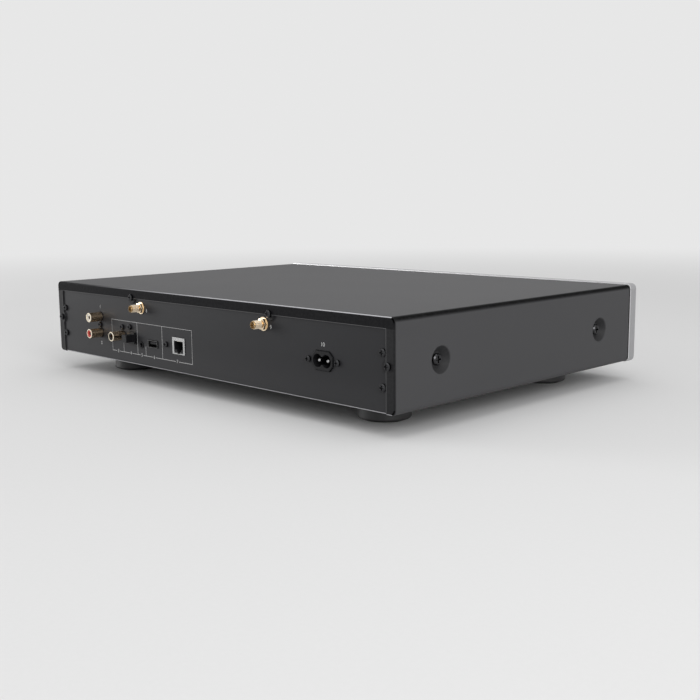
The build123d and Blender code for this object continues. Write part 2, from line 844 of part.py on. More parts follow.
# Optical socket with its ear, and the dust plug that closes it
optical_face_y = wall_y + optical_proud
optical_screw_x, optical_screw_z = socket_screws[2]
with BuildPart() as optical_socket:
    with BuildSketch(upright(optical_face_y)):
        with Locations((optical_x, optical_z)):
            Rectangle(optical_width, optical_height)
    extrude(amount=optical_proud + sheet + optical_depth)
    with BuildSketch(upright(wall_inner_y)):
        with Locations((optical_x, main_board_top)):
            Rectangle(optical_width, optical_rise, align=upward)
    extrude(amount=optical_depth)
    with BuildSketch(upright(wall_inner_y)):
        with Locations((optical_screw_x, optical_z)):
            Rectangle(optical_ear_width, optical_screw_z - optical_z + optical_ear_width / 2, align=upward)
    extrude(amount=optical_ear_thickness)
    with BuildSketch(upright(wall_inner_y)):
        with Locations((optical_screw_x, optical_screw_z)):
            Circle(screw_radius + clearance)
    extrude(amount=screw_length, mode=Mode.SUBTRACT)
    with BuildSketch(upright(optical_face_y)):
        with Locations((optical_x, optical_z)):
            RectangleRounded(optical_mouth, optical_mouth, optical_mouth_corner)
    extrude(amount=plug_stem_length + overrun, mode=Mode.SUBTRACT)
optical_socket.part.label = "optical_socket"
export_step(optical_socket.part, "parts/optical_socket.step")

plug_seat_y = optical_face_y + clearance
plug_grip_y = plug_seat_y + plug_flange_thickness
plug_end_y = plug_grip_y + plug_grip_length
with BuildPart() as optical_dust_plug:
    with BuildSketch(upright(plug_seat_y)):
        with Locations((optical_x, optical_z)):
            RectangleRounded(plug_stem, plug_stem, plug_stem_corner)
    extrude(amount=plug_stem_length)
    with BuildSketch(upright(plug_grip_y)):
        with Locations((optical_x, optical_z)):
            RectangleRounded(plug_flange, plug_flange, plug_stem_corner)
    extrude(amount=plug_flange_thickness)
    with BuildSketch(upright(plug_end_y)):
        with Locations((optical_x, optical_z)):
            RectangleRounded(plug_grip_width, plug_grip_height, plug_stem_corner)
    extrude(amount=plug_grip_length)
    chamfer(optical_dust_plug.faces().sort_by(Axis.Y)[-1].outer_wire().edges(), plug_groove)
    for turn in (1, 2, 3):
        groove_y = plug_grip_y + turn * plug_grip_length / 4
        with Locations(
            (optical_x - plug_grip_width / 2, groove_y, optical_z),
            (optical_x + plug_grip_width / 2, groove_y, optical_z),
        ):
            Box(2 * plug_groove, plug_groove_width, plug_grip_height + overrun, mode=Mode.SUBTRACT)
optical_dust_plug.part.label = "optical_dust_plug"
export_step(optical_dust_plug.part, "parts/optical_dust_plug.step")

# Service jack
with BuildPart() as service_jack:
    with BuildSketch(upright(wall_inner_y)):
        with Locations((service_x, service_z)):
            Rectangle(service_width, service_height)
    extrude(amount=service_depth)
    with BuildSketch(upright(wall_y + service_proud)):
        with Locations((service_x, service_z)):
            Circle(service_nose_radius)
    extrude(amount=service_proud + sheet)
    with BuildSketch(upright(wall_y + service_proud)):
        with Locations((service_x, service_z)):
            Circle(service_bore_radius)
    extrude(amount=service_bore_depth, mode=Mode.SUBTRACT)
    chamfer(
        service_jack.edges().filter_by(GeomType.CIRCLE).sort_by(Axis.Y)[-2:].sort_by(SortBy.RADIUS)[0],
        snug + clearance,
    )
service_jack.part.label = "service_jack"
export_step(service_jack.part, "parts/service_jack.step")

# USB-A socket: a folded shell with lips and legs, and the tongue in its upper half
usb_face_y = wall_y + usb_proud
with BuildPart() as usb_socket_shell:
    with BuildSketch(upright(usb_face_y)):
        with Locations((usb_x, usb_z)):
            Rectangle(usb_width, usb_height)
    extrude(amount=usb_depth)
    with BuildSketch(upright(usb_face_y)):
        with Locations((usb_x, usb_z)):
            Rectangle(usb_width + 2 * usb_lip, usb_height + 2 * usb_lip)
    extrude(amount=usb_skin)
    with BuildSketch(upright(usb_face_y)):
        with Locations((usb_x, usb_z)):
            Rectangle(usb_width - 2 * usb_skin, usb_height - 2 * usb_skin)
    extrude(amount=usb_depth - usb_skin, mode=Mode.SUBTRACT)
    with BuildSketch(upright(wall_inner_y - board_gap)):
        for side in (-1, 1):
            with Locations((usb_x + side * (usb_width - usb_skin) / 2, main_board_top)):
                Rectangle(usb_skin, usb_rise + usb_skin, align=upward)
    extrude(amount=usb_depth - usb_proud - 2 * sheet - board_gap)
usb_socket_shell.part.label = "usb_socket_shell"
export_step(usb_socket_shell.part, "parts/usb_socket_shell.step")

usb_root = usb_depth / 4
usb_inner_back_y = usb_face_y - usb_depth + usb_skin
with BuildPart() as usb_socket_tongue:
    with BuildSketch(upright(usb_inner_back_y + usb_root)):
        with Locations((usb_x, usb_z)):
            Rectangle(usb_width - 2 * (usb_skin + snug), usb_height - 2 * (usb_skin + snug))
    extrude(amount=usb_root)
    with BuildSketch(upright(usb_face_y - usb_tongue_setback)):
        with Locations((usb_x, usb_z + usb_height / 2 - usb_skin - usb_tongue_drop)):
            Rectangle(usb_tongue_width, usb_tongue_thickness, align=(Align.CENTER, Align.MAX))
    extrude(amount=usb_depth - usb_skin - usb_tongue_setback - usb_root / 2)
usb_socket_tongue.part.label = "usb_socket_tongue"
export_step(usb_socket_tongue.part, "parts/usb_socket_tongue.step")

# Ethernet socket: a shield round an insert with the stepped mouth and eight contacts
ethernet_face_y = wall_y + ethernet_proud
ethernet_low_z = main_board_top
ethernet_mouth_z = ethernet_low_z + ethernet_mouth_bottom


def ethernet_mouth():
    """The stepped mouth: the plug's opening, the latch's notch and its key below."""
    with BuildSketch() as mouth:
        with Locations((0, ethernet_mouth_bottom)):
            Rectangle(ethernet_mouth_width, ethernet_mouth_height, align=upward)
            Rectangle(
                ethernet_notch_width, ethernet_notch_height, align=(Align.CENTER, Align.MAX)
            )
            Rectangle(
                ethernet_key_width,
                ethernet_notch_height + ethernet_key_height,
                align=(Align.CENTER, Align.MAX),
            )
    return mouth.sketch


ethernet_window_width = ethernet_mouth_width + 2 * ethernet_window_gap
ethernet_mouth_top = ethernet_mouth_bottom + ethernet_mouth_height
ethernet_window_height = ethernet_mouth_top + ethernet_window_gap - ethernet_window_bottom
with BuildPart() as ethernet_jack_shield:
    with BuildSketch(upright(ethernet_face_y)):
        with Locations((ethernet_x, ethernet_low_z)):
            Rectangle(ethernet_width, ethernet_height, align=upward)
    extrude(amount=ethernet_depth)
    with BuildSketch(upright(ethernet_face_y - ethernet_skin)):
        with Locations((ethernet_x, ethernet_low_z)):
            Rectangle(ethernet_width - 2 * ethernet_skin, ethernet_height - ethernet_skin, align=upward)
    extrude(amount=ethernet_depth - 2 * ethernet_skin, mode=Mode.SUBTRACT)
    with BuildSketch(upright(ethernet_face_y)):
        with Locations((ethernet_x, ethernet_low_z + ethernet_window_bottom)):
            Rectangle(ethernet_window_width, ethernet_window_height, align=upward)
            Rectangle(ethernet_key_width, ethernet_window_bottom)
    extrude(amount=ethernet_skin, mode=Mode.SUBTRACT)
ethernet_jack_shield.part.label = "ethernet_jack_shield"
export_step(ethernet_jack_shield.part, "parts/ethernet_jack_shield.step")

ethernet_insert_width = ethernet_width - 2 * (ethernet_skin + snug)
ethernet_insert_height = ethernet_height - ethernet_skin - snug
ethernet_contact_z = ethernet_mouth_z + ethernet_mouth_height
ethernet_contact_y = ethernet_face_y - ethernet_skin - ethernet_mouth_depth / 2
with BuildPart() as ethernet_jack_insert:
    with BuildSketch(upright(ethernet_face_y - ethernet_skin)):
        with Locations((ethernet_x, ethernet_low_z)):
            Rectangle(ethernet_insert_width, ethernet_insert_height, align=upward)
    extrude(amount=ethernet_depth - 2 * ethernet_skin - snug)
    with BuildSketch(upright(ethernet_face_y - ethernet_skin)):
        with Locations((ethernet_x, ethernet_low_z)):
            add(ethernet_mouth())
    extrude(amount=ethernet_mouth_depth, mode=Mode.SUBTRACT)
    with Locations((ethernet_x, ethernet_contact_y, ethernet_contact_z)):
        with GridLocations(ethernet_contact_pitch, ethernet_contact_length, ethernet_contact_count, 1):
            Box(
                ethernet_contact_width,
                ethernet_contact_length,
                2 * ethernet_contact_rise,
                align=middle,
            )
ethernet_jack_insert.part.label = "ethernet_jack_insert"
export_step(ethernet_jack_insert.part, "parts/ethernet_jack_insert.step")

# Antenna sockets, clamped to the wall by a nut over a washer
antenna_end_y = rear_y + antenna_reach
antenna_back_y = wall_inner_y - antenna_back_length
antenna_nut_face_y = wall_y + antenna_washer_thickness + antenna_nut_thickness
for name, x in antenna_places.items():
    with BuildPart() as antenna_socket:
        with BuildSketch(upright(antenna_end_y)):
            with Locations((x, antenna_z)):
                Circle(antenna_radius)
        extrude(amount=antenna_end_y - wall_inner_y)
        with BuildSketch(upright(antenna_nut_face_y + antenna_groove_width)):
            with Locations((x, antenna_z)):
                Circle(antenna_radius + clearance)
                Circle(antenna_groove_radius, mode=Mode.SUBTRACT)
        extrude(amount=antenna_groove_width, mode=Mode.SUBTRACT)
        with BuildSketch(upright(wall_inner_y)):
            with Locations((x, antenna_z)):
                RegularPolygon(antenna_hex / 2, hex_sides, major_radius=False)
        extrude(amount=antenna_back_length)
        with BuildSketch(upright(antenna_back_y)):
            with Locations((x, antenna_z)):
                Circle(antenna_crimp_radius)
        extrude(amount=antenna_crimp_length)
        with BuildSketch(upright(antenna_end_y)):
            with Locations((x, antenna_z)):
                Circle(antenna_bore_radius)
                Circle(antenna_pin_radius, mode=Mode.SUBTRACT)
        extrude(amount=antenna_bore_depth, mode=Mode.SUBTRACT)
    antenna_socket.part.label = f"antenna_socket_{name}"
    export_step(antenna_socket.part, f"parts/antenna_socket_{name}.step")

antenna_points = [(x, antenna_z) for x in antenna_places.values()]
with BuildPart() as antenna_washers:
    with BuildSketch(upright(wall_y + antenna_washer_thickness)):
        with Locations(*antenna_points):
            Circle(antenna_washer_radius)
            Circle(antenna_radius + snug, mode=Mode.SUBTRACT)
    extrude(amount=antenna_washer_thickness)
antenna_washers.part.label = "antenna_washers"
export_step(antenna_washers.part, "parts/antenna_washers.step")

with BuildPart() as antenna_nuts:
    with BuildSketch(upright(antenna_nut_face_y)):
        with Locations(*antenna_points):
            RegularPolygon(antenna_hex / 2, hex_sides, major_radius=False)
            Circle(antenna_radius + snug, mode=Mode.SUBTRACT)
    extrude(amount=antenna_nut_thickness)
antenna_nuts.part.label = "antenna_nuts"
export_step(antenna_nuts.part, "parts/antenna_nuts.step")

# Mains inlet: a figure-8 cavity in a body that is screwed behind the wall, and its two pins
inlet_face_y = wall_y + inlet_proud
inlet_floor_y = inlet_face_y - inlet_cavity_depth
inlet_back_y = wall_inner_y - inlet_depth
pin_places = [(inlet_x + side * inlet_lobe_spacing / 2, inlet_z) for side in (-1, 1)]
with BuildPart() as mains_inlet:
    with BuildSketch(upright(inlet_face_y)):
        with Locations((inlet_x, inlet_z)):
            add(cut_rectangle(inlet_width, inlet_body_height, inlet_chamfer))
    extrude(amount=inlet_face_y - inlet_back_y)
    chamfer(mains_inlet.faces().sort_by(Axis.Y)[-1].outer_wire().edges(), inlet_rim / 2)
    with BuildSketch(upright(wall_inner_y)):
        with Locations((inlet_x, inlet_z)):
            RectangleRounded(inlet_flange_width, inlet_body_height, inlet_chamfer)
    extrude(amount=inlet_flange_thickness)
    with BuildSketch(upright(inlet_face_y)):
        with Locations(*pin_places):
            Circle(inlet_lobe_radius)
        with Locations((inlet_x, inlet_z)):
            Rectangle(inlet_lobe_spacing, inlet_waist)
    extrude(amount=inlet_cavity_depth, mode=Mode.SUBTRACT)
    with BuildSketch(upright(inlet_floor_y + overrun)):
        with Locations(*pin_places):
            Circle(pin_radius + snug)
    extrude(amount=inlet_floor_y - inlet_back_y + 2 * overrun, mode=Mode.SUBTRACT)
    with BuildSketch(upright(wall_inner_y)):
        with Locations(*inlet_screws):
            Circle(screw_radius + clearance)
    extrude(amount=screw_length, mode=Mode.SUBTRACT)
mains_inlet.part.label = "mains_inlet"
export_step(mains_inlet.part, "parts/mains_inlet.step")

with BuildPart() as mains_inlet_pins:
    with BuildSketch(upright(inlet_floor_y + pin_length)):
        with Locations(*pin_places):
            Circle(pin_radius)
    extrude(amount=inlet_floor_y + pin_length - inlet_back_y)
    chamfer(mains_inlet_pins.edges().group_by(Axis.Y)[-1], pin_radius / 3)
    with BuildSketch(upright(inlet_back_y)):
        with Locations(*pin_places):
            Rectangle(tag_width, tag_thickness, rotation=90)
    extrude(amount=tag_length)
mains_inlet_pins.part.label = "mains_inlet_pins"
export_step(mains_inlet_pins.part, "parts/mains_inlet_pins.step")

# Main board with its chips, header and grounding block, and the plug-in network module
main_board_front = main_board_rear - main_board_depth
main_board_under = main_board_top - board_thickness
main_board_width = main_board_right - main_board_left
main_board_holes = [
    (x, y)
    for x in (main_board_left + standoff_inset, main_board_right - standoff_inset)
    for y in (main_board_front + standoff_inset, main_board_rear - ethernet_depth - standoff_inset)
]
module_x = main_board_x
module_y = main_board_rear - main_board_depth / 2
with BuildPart() as main_board:
    with BuildSketch(Plane.XY.offset(main_board_under)):
        with Locations((main_board_x, main_board_front)):
            Rectangle(main_board_width, main_board_depth, align=upward)
        with Locations(*main_board_holes):
            Circle(screw_radius + clearance, mode=Mode.SUBTRACT)
    extrude(amount=board_thickness)
    with Locations((ribbon_x, main_board_front + header_depth / 2, main_board_top)):
        Box(ribbon_width + 2 * overrun, header_depth, header_height, align=standing)
    with Locations((main_board_left + 2 * chip_size, module_y - chip_size, main_board_top)):
        with GridLocations(2 * chip_size, 2 * chip_size, 1, 2):
            Box(chip_size, chip_size, chip_height, align=standing)
    with Locations((main_board_right - 2 * chip_size, module_y, main_board_top)):
        with GridLocations(2 * chip_size, 2 * chip_size, 1, 2):
            Box(chip_size / 2, chip_size / 2, chip_height, align=standing)
    with Locations((ground_screw_x, main_board_rear + board_gap, main_board_top)):
        Box(
            ground_block_size,
            ground_block_size,
            ground_screw_rise + ground_block_size / 2,
            align=(Align.CENTER, Align.MAX, Align.MIN),
        )
    with BuildSketch(upright(wall_inner_y)):
        with Locations((ground_screw_x, main_board_top + ground_screw_rise)):
            Circle(screw_radius + clearance)
    extrude(amount=screw_length, mode=Mode.SUBTRACT)
main_board.part.label = "main_board"
export_step(main_board.part, "parts/main_board.step")

module_board_z = main_board_top + module_lift
module_top_z = module_board_z + board_thickness
module_can_depth = module_depth - module_strip - module_can_margin
aerial_plugs = [
    (module_x + side * module_width / 4, module_y + (module_depth - module_strip) / 2)
    for side in (-1, 1)
]
with BuildPart() as network_module:
    with Locations((module_x, module_y, main_board_top)):
        Box(module_width - 2 * module_can_margin, module_strip, module_lift, align=standing)
    with Locations((module_x, module_y, module_board_z)):
        Box(module_width, module_depth, board_thickness, align=standing)
    with Locations((module_x, module_y + module_depth / 2 - module_strip, module_top_z)):
        Box(
            module_width - 2 * module_can_margin,
            module_can_depth,
            module_can_height,
            align=(Align.CENTER, Align.MAX, Align.MIN),
        )
    can_edges = network_module.edges().filter_by(
        lambda edge: module_top_z + snug < edge.center().Z < module_top_z + module_can_height
    )
    fillet(can_edges, module_can_rounding)
    with Locations(*[(x, y, module_top_z) for x, y in aerial_plugs]):
        Cylinder(aerial_plug_radius, aerial_plug_height, align=standing)
network_module.part.label = "network_module"
export_step(network_module.part, "parts/network_module.step")

# Power board, its transformer and its capacitors
power_board_front = power_board_rear - power_board_depth
power_board_under = power_board_top - board_thickness
power_board_y = (power_board_front + power_board_rear) / 2
tag_end_y = inlet_back_y - tag_length
terminal_y = tag_end_y - terminal_setback
power_board_holes = [
    (power_board_x + side_x * (power_board_width / 2 - standoff_inset),
     power_board_y + side_y * (power_board_depth / 2 - standoff_inset))
    for side_x in (-1, 1)
    for side_y in (-1, 1)
]
with BuildPart() as power_board:
    with BuildSketch(Plane.XY.offset(power_board_under)):
        with Locations((power_board_x, power_board_y)):
            Rectangle(power_board_width, power_board_depth)
        with Locations(*power_board_holes):
            Circle(screw_radius + clearance, mode=Mode.SUBTRACT)
    extrude(amount=board_thickness)
    with Locations((power_board_x + power_board_width / 3, power_board_y, power_board_top)):
        Box(heat_sink_thickness, heat_sink_length, heat_sink_height, align=standing)
    with Locations((inlet_x, terminal_y, power_board_top)):
        Box(terminal_width, terminal_depth, terminal_height, align=standing)
power_board.part.label = "power_board"
export_step(power_board.part, "parts/power_board.step")

transformer_x = power_board_x
with BuildPart() as power_transformer:
    with Locations((transformer_x, power_board_y, power_board_top)):
        Box(transformer_width, transformer_depth, transformer_height, align=standing)
    with Locations((transformer_x, power_board_y, power_board_top + transformer_height / 2)):
        Box(
            transformer_width + 2 * transformer_core_overhang,
            transformer_depth - 4 * transformer_core_overhang,
            transformer_core_height,
            align=middle,
        )
        Box(
            transformer_width - 4 * transformer_core_overhang,
            transformer_depth + 2 * transformer_core_overhang,
            transformer_core_height,
            align=middle,
        )
power_transformer.part.label = "power_transformer"
export_step(power_transformer.part, "parts/power_transformer.step")

capacitor_x = power_board_x - power_board_width / 2 + capacitor_radius + 2 * standoff_inset
capacitor_step = 2 * capacitor_radius + capacitor_gap
with BuildPart() as power_capacitors:
    with Locations((capacitor_x, power_board_y, power_board_top)):
        with GridLocations(capacitor_step, capacitor_step, 1, capacitor_count):
            Cylinder(capacitor_radius, capacitor_height, align=standing)
    chamfer(power_capacitors.edges().group_by(Axis.Z)[-1], capacitor_rim)
power_capacitors.part.label = "power_capacitors"
export_step(power_capacitors.part, "parts/power_capacitors.step")

# Standoffs that carry the two boards, and the screws that hold all three boards
with BuildPart() as board_standoffs:
    for under, holes in ((main_board_under, main_board_holes), (power_board_under, power_board_holes)):
        with BuildSketch(Plane.XY.offset(floor_z)):
            with Locations(*holes):
                RegularPolygon(standoff_radius, hex_sides, major_radius=False)
                Circle(screw_radius + clearance, mode=Mode.SUBTRACT)
        extrude(amount=under - floor_z)
board_standoffs.part.label = "board_standoffs"
export_step(board_standoffs.part, "parts/board_standoffs.step")

with BuildPart() as board_screws:
    with Locations(
        *[(x, y, main_board_top) for x, y in main_board_holes],
        *[(x, y, power_board_top) for x, y in power_board_holes],
        *[facing(x, board_front_y, z, (0, -1, 0)) for x, z in button_board_holes],
    ):
        add(small_screw)
board_screws.part.label = "board_screws"
export_step(board_screws.part, "parts/board_screws.step")

# Button board with the status lamp, and the switches on it
switch_places = [(standby_x, button_z)] + [(x, button_z) for x in presets_x]
switch_face_y = board_front_y - switch_height
plunger_y = switch_face_y - plunger_proud
with BuildPart() as button_board:
    with BuildSketch(upright(board_back_y)):
        with Locations((button_board_x, button_z)):
            Rectangle(button_board_right - button_board_left, button_board_height)
        with Locations(*button_board_holes):
            Circle(screw_radius + clearance, mode=Mode.SUBTRACT)
    extrude(amount=board_thickness)
    with BuildSketch(upright(board_front_y)):
        with Locations((status_x, button_z)):
            Rectangle(lamp_size, lamp_size)
    extrude(amount=lamp_height)
button_board.part.label = "button_board"
export_step(button_board.part, "parts/button_board.step")

with BuildPart() as switch_bodies:
    with BuildSketch(upright(board_front_y)):
        with Locations(*switch_places):
            Rectangle(switch_size, switch_size)
    extrude(amount=switch_height)
    with BuildSketch(upright(switch_face_y + plunger_seat + button_travel + plunger_play)):
        with Locations(*switch_places):
            Circle(plunger_radius + plunger_play)
    extrude(amount=switch_height, mode=Mode.SUBTRACT)
switch_bodies.part.label = "switch_bodies"
export_step(switch_bodies.part, "parts/switch_bodies.step")

# Buttons: a cap in the panel, a collar behind it and a stem that meets the switch's plunger
collar_y = front_y + panel_wall + clearance
stem_start_y = collar_y + collar_thickness
button_rows = [("standby_button", standby_x, standby_radius)] + [
    (f"preset_button_{number}", x, preset_radius) for number, x in enumerate(presets_x, start=1)
]
for number, (name, x, radius) in enumerate(button_rows):
    with BuildPart() as button:
        with BuildSketch(upright(collar_y)):
            with Locations((x, button_z)):
                Circle(radius)
        extrude(amount=collar_y - front_y + button_proud)
        fillet(button.edges().sort_by(Axis.Y)[0], button_rounding)
        with BuildSketch(upright(stem_start_y)):
            with Locations((x, button_z)):
                Circle(radius + collar_width)
        extrude(amount=collar_thickness)
        with BuildSketch(upright(plunger_y)):
            with Locations((x, button_z)):
                Circle(plunger_radius)
        extrude(amount=plunger_y - stem_start_y)
    button.part.label = name
    export_step(button.part, f"parts/{name}.step")

    with BuildPart() as plunger:
        with BuildSketch(upright(switch_face_y + plunger_seat)):
            with Locations((x, button_z)):
                Circle(plunger_radius)
        extrude(amount=plunger_seat + plunger_proud)
    plunger.part.label = f"switch_plunger_{number}"
    export_step(plunger.part, f"parts/switch_plunger_{number}.step")

# Status light pipe, from the panel's face to the lamp
pipe_end_y = board_front_y - lamp_height - clearance
pipe_flange_y = front_y + panel_wall + status_flange_thickness
with BuildPart() as status_light_pipe:
    with BuildSketch(upright(pipe_end_y)):
        with Locations((status_x, button_z)):
            Circle(status_radius)
    extrude(amount=pipe_end_y - front_y)
    with BuildSketch(upright(pipe_flange_y)):
        with Locations((status_x, button_z)):
            Circle(status_radius + status_flange)
    extrude(amount=status_flange_thickness)
status_light_pipe.part.label = "status_light_pipe"
export_step(status_light_pipe.part, "parts/status_light_pipe.step")


# Leads: the ribbon between the boards, the antenna leads and the two mains leads
def bend_radii(points):
    """The radius at each corner of a route: as large as the shorter of its two runs allows."""
    radii = []
    for before, corner, after in zip(points, points[1:], points[2:]):
        arriving = Vector(corner) - Vector(before)
        leaving = Vector(after) - Vector(corner)
        half_turn = radians(arriving.get_angle(leaving) / 2)
        radii.append(bend_share * min(arriving.length, leaving.length) / tan(half_turn))
    return radii


def round_lead(points, radius):
    """A round lead along straight runs joined by arcs."""
    radii = bend_radii(points)
    print("lead radii", [round(value, 1) for value in radii])
    with BuildPart() as wire:
        with BuildLine() as route:
            FilletPolyline(*points, radius=radii)
        with BuildSketch(Plane(origin=points[0], z_dir=route.line % 0)):
            Circle(radius)
        sweep()
    return wire.part


ribbon_first_y = board_back_y + ribbon_run
ribbon_last_y = main_board_front - ribbon_run
ribbon_start_z = button_z - button_board_height / 2 + ribbon_thickness
ribbon_end_z = main_board_top + header_height / 2
ribbon_middle = [
    (
        ribbon_x,
        ribbon_first_y + along * (ribbon_last_y - ribbon_first_y),
        ribbon_start_z + along * (ribbon_end_z - ribbon_start_z) - sag * ribbon_sag,
    )
    for along, sag in ribbon_shares
]
ribbon_points = [
    (ribbon_x, board_back_y, ribbon_start_z),
    (ribbon_x, ribbon_first_y, ribbon_start_z),
    *ribbon_middle,
    (ribbon_x, ribbon_last_y, ribbon_end_z),
    (ribbon_x, main_board_front, ribbon_end_z),
]
ribbon_radii = bend_radii(ribbon_points)
print("ribbon radii", [round(value, 1) for value in ribbon_radii])
with BuildPart() as ribbon_cable:
    with BuildLine() as ribbon_route:
        FilletPolyline(*ribbon_points, radius=ribbon_radii)
    with BuildSketch(Plane(origin=ribbon_points[0], x_dir=(1, 0, 0), z_dir=ribbon_route.line % 0)):
        Rectangle(ribbon_width, ribbon_thickness)
    sweep()
ribbon_cable.part.label = "ribbon_cable"
export_step(ribbon_cable.part, "parts/ribbon_cable.step")

with BuildPart() as antenna_leads:
    for x, (plug_x, plug_y) in zip(sorted(antenna_places.values()), aerial_plugs):
        start = Vector(x, antenna_back_y - antenna_crimp_length, antenna_z)
        end = Vector(plug_x, plug_y, module_top_z + aerial_plug_height)
        first = start - Vector(0, antenna_lead_run, 0)
        last = end + Vector(0, 0, antenna_lead_run)
        way = last - first
        between = [
            first + Vector(across * way.X, along * way.Y, down * way.Z)
            for across, along, down in antenna_lead_shares
        ]
        add(round_lead([start, first, *between, last, end], antenna_lead_radius))
antenna_leads.part.label = "antenna_leads"
export_step(antenna_leads.part, "parts/antenna_leads.step")

terminal_top_z = power_board_top + terminal_height
with BuildPart() as mains_leads:
    for x, z in pin_places:
        mains_points = [
            (x, tag_end_y, z),
            (x, tag_end_y - mains_lead_run, z),
            (x, terminal_y, terminal_top_z + mains_lead_run),
            (x, terminal_y, terminal_top_z),
        ]
        add(round_lead(mains_points, mains_lead_radius))
mains_leads.part.label = "mains_leads"
export_step(mains_leads.part, "parts/mains_leads.step")
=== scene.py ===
"""A network music streamer in its finishes, with its print, threads and contacts, in a plain studio."""

import json
from math import cos, pi, radians, sin, tau

import bmesh
import bpy
from mathutils import Matrix, Vector


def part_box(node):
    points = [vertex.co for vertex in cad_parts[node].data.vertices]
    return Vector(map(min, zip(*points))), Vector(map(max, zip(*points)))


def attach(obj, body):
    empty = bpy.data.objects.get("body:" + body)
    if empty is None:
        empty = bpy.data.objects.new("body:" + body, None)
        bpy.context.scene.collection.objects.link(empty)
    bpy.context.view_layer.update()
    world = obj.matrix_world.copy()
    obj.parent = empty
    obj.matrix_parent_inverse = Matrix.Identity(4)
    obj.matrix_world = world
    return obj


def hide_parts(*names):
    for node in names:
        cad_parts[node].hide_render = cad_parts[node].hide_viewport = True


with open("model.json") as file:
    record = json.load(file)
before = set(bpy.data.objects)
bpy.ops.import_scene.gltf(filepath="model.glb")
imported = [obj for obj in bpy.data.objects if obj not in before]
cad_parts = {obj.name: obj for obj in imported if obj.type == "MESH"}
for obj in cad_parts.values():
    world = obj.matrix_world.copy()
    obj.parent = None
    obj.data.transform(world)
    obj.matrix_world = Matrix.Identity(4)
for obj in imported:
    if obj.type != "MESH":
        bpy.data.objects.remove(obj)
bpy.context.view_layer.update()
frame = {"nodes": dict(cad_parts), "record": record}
nodes = frame["nodes"]
slot_of = {row["node"]: row["material_slot"] for row in frame["record"]["subparts"]}

# Sizes in metres
mm = 0.001
beyond = 999 * mm
print_width = 0.35 * mm
print_proud = 0.02 * mm
numeral_height = 3.0 * mm
label_gap = 4.4 * mm
preset_gap = 4.2 * mm
flange = 8.2 * mm
rear_bend = 1.6 * mm
tray_bend = 2.0 * mm
cover_bend = 4.0 * mm
thread_pitch = 0.7 * mm
thread_depth = 0.3 * mm
barrel_core = 2.85 * mm
barrel_mouth = 2.3 * mm
barrel_seat = 1.9 * mm
tail_radius = 1.9 * mm
bore_depth = 5.0 * mm
seat_depth = 2.3 * mm
pin_radius = 0.65 * mm
pin_bore = 0.4 * mm
pin_inset = 0.9 * mm
pin_bore_depth = 3.0 * mm
collar_front = 1.2 * mm
collar_back = 4.2 * mm
board_thickness = 1.6 * mm
strand_pitch = 1.27 * mm
round_steps = 48

# Circuit boards: cells and tracks to a metre, and the shares left between and without tracks
cell_rate = 90
track_rate = 620
track_gap = 0.62
bare_share = 0.35


class Wire:
    """An output of a node. Sums and products on it add Math nodes, and node() adds any other node."""

    def __init__(self, tree, socket=None):
        self.tree = tree
        self.socket = socket

    def node(self, kind, settings=None, sockets=None, output=0):
        """Add a node: its settings first, then the values or links of its sockets."""
        made = self.tree.nodes.new(kind)
        for name, value in (settings or {}).items():
            setattr(made, name, value)
        for name, value in (sockets or {}).items():
            if isinstance(value, Wire):
                self.tree.links.new(value.socket, made.inputs[name])
            else:
                made.inputs[name].default_value = value
        return Wire(self.tree, made.outputs[output] if made.outputs else None)

    def maths(self, operation, *values):
        """A Math node on these values or links."""
        return self.node("ShaderNodeMath", {"operation": operation}, dict(enumerate(values)))

    def blend(self, mask, first, second):
        """The first colour where the mask is 0 and the second where it is 1."""
        return self.node("ShaderNodeMix", {"data_type": "RGBA"}, {0: mask, 6: first, 7: second}, 2)

    def __add__(self, other):
        return self.maths("ADD", self, other)

    __radd__ = __add__

    def __sub__(self, other):
        return self.maths("SUBTRACT", self, other)

    def __rsub__(self, other):
        return self.maths("SUBTRACT", other, self)

    def __mul__(self, other):
        return self.maths("MULTIPLY", self, other)

    __rmul__ = __mul__

    def __truediv__(self, other):
        return self.maths("DIVIDE", self, other)


def start_finish(name):
    """An empty material, its tree to build on, and the place on the object."""
    material = bpy.data.materials.new(name)
    material.use_nodes = True
    material.node_tree.nodes.clear()
    tree = Wire(material.node_tree)
    return material, tree, tree.node("ShaderNodeTexCoord", output="Object")


def noise(place, scale, detail=2.0, stretch=(1, 1, 1)):
    """Cloudy noise from 0 to 1, drawn out along an axis where its stretch is small."""
    drawn = place.node("ShaderNodeVectorMath", {"operation": "MULTIPLY"}, {0: place, 1: stretch})
    return place.node("ShaderNodeTexNoise", None, {"Vector": drawn, "Scale": scale, "Detail": detail})


def axes(place):
    """The X, Y and Z of a place."""
    return [place.node("ShaderNodeSeparateXYZ", None, {0: place}, index) for index in range(3)]


def between(value, low, high, edge):
    """A soft-edged mask, 1 where the value lies from low to high. A high of beyond leaves it open."""
    rise = value.node(
        "ShaderNodeMapRange",
        {"interpolation_type": "SMOOTHSTEP"},
        {"Value": value, "From Min": low - edge, "From Max": low + edge},
    )
    fall = value.node(
        "ShaderNodeMapRange",
        {"interpolation_type": "SMOOTHSTEP"},
        {"Value": value, "From Min": high - edge, "From Max": high + edge},
    )
    return rise - fall


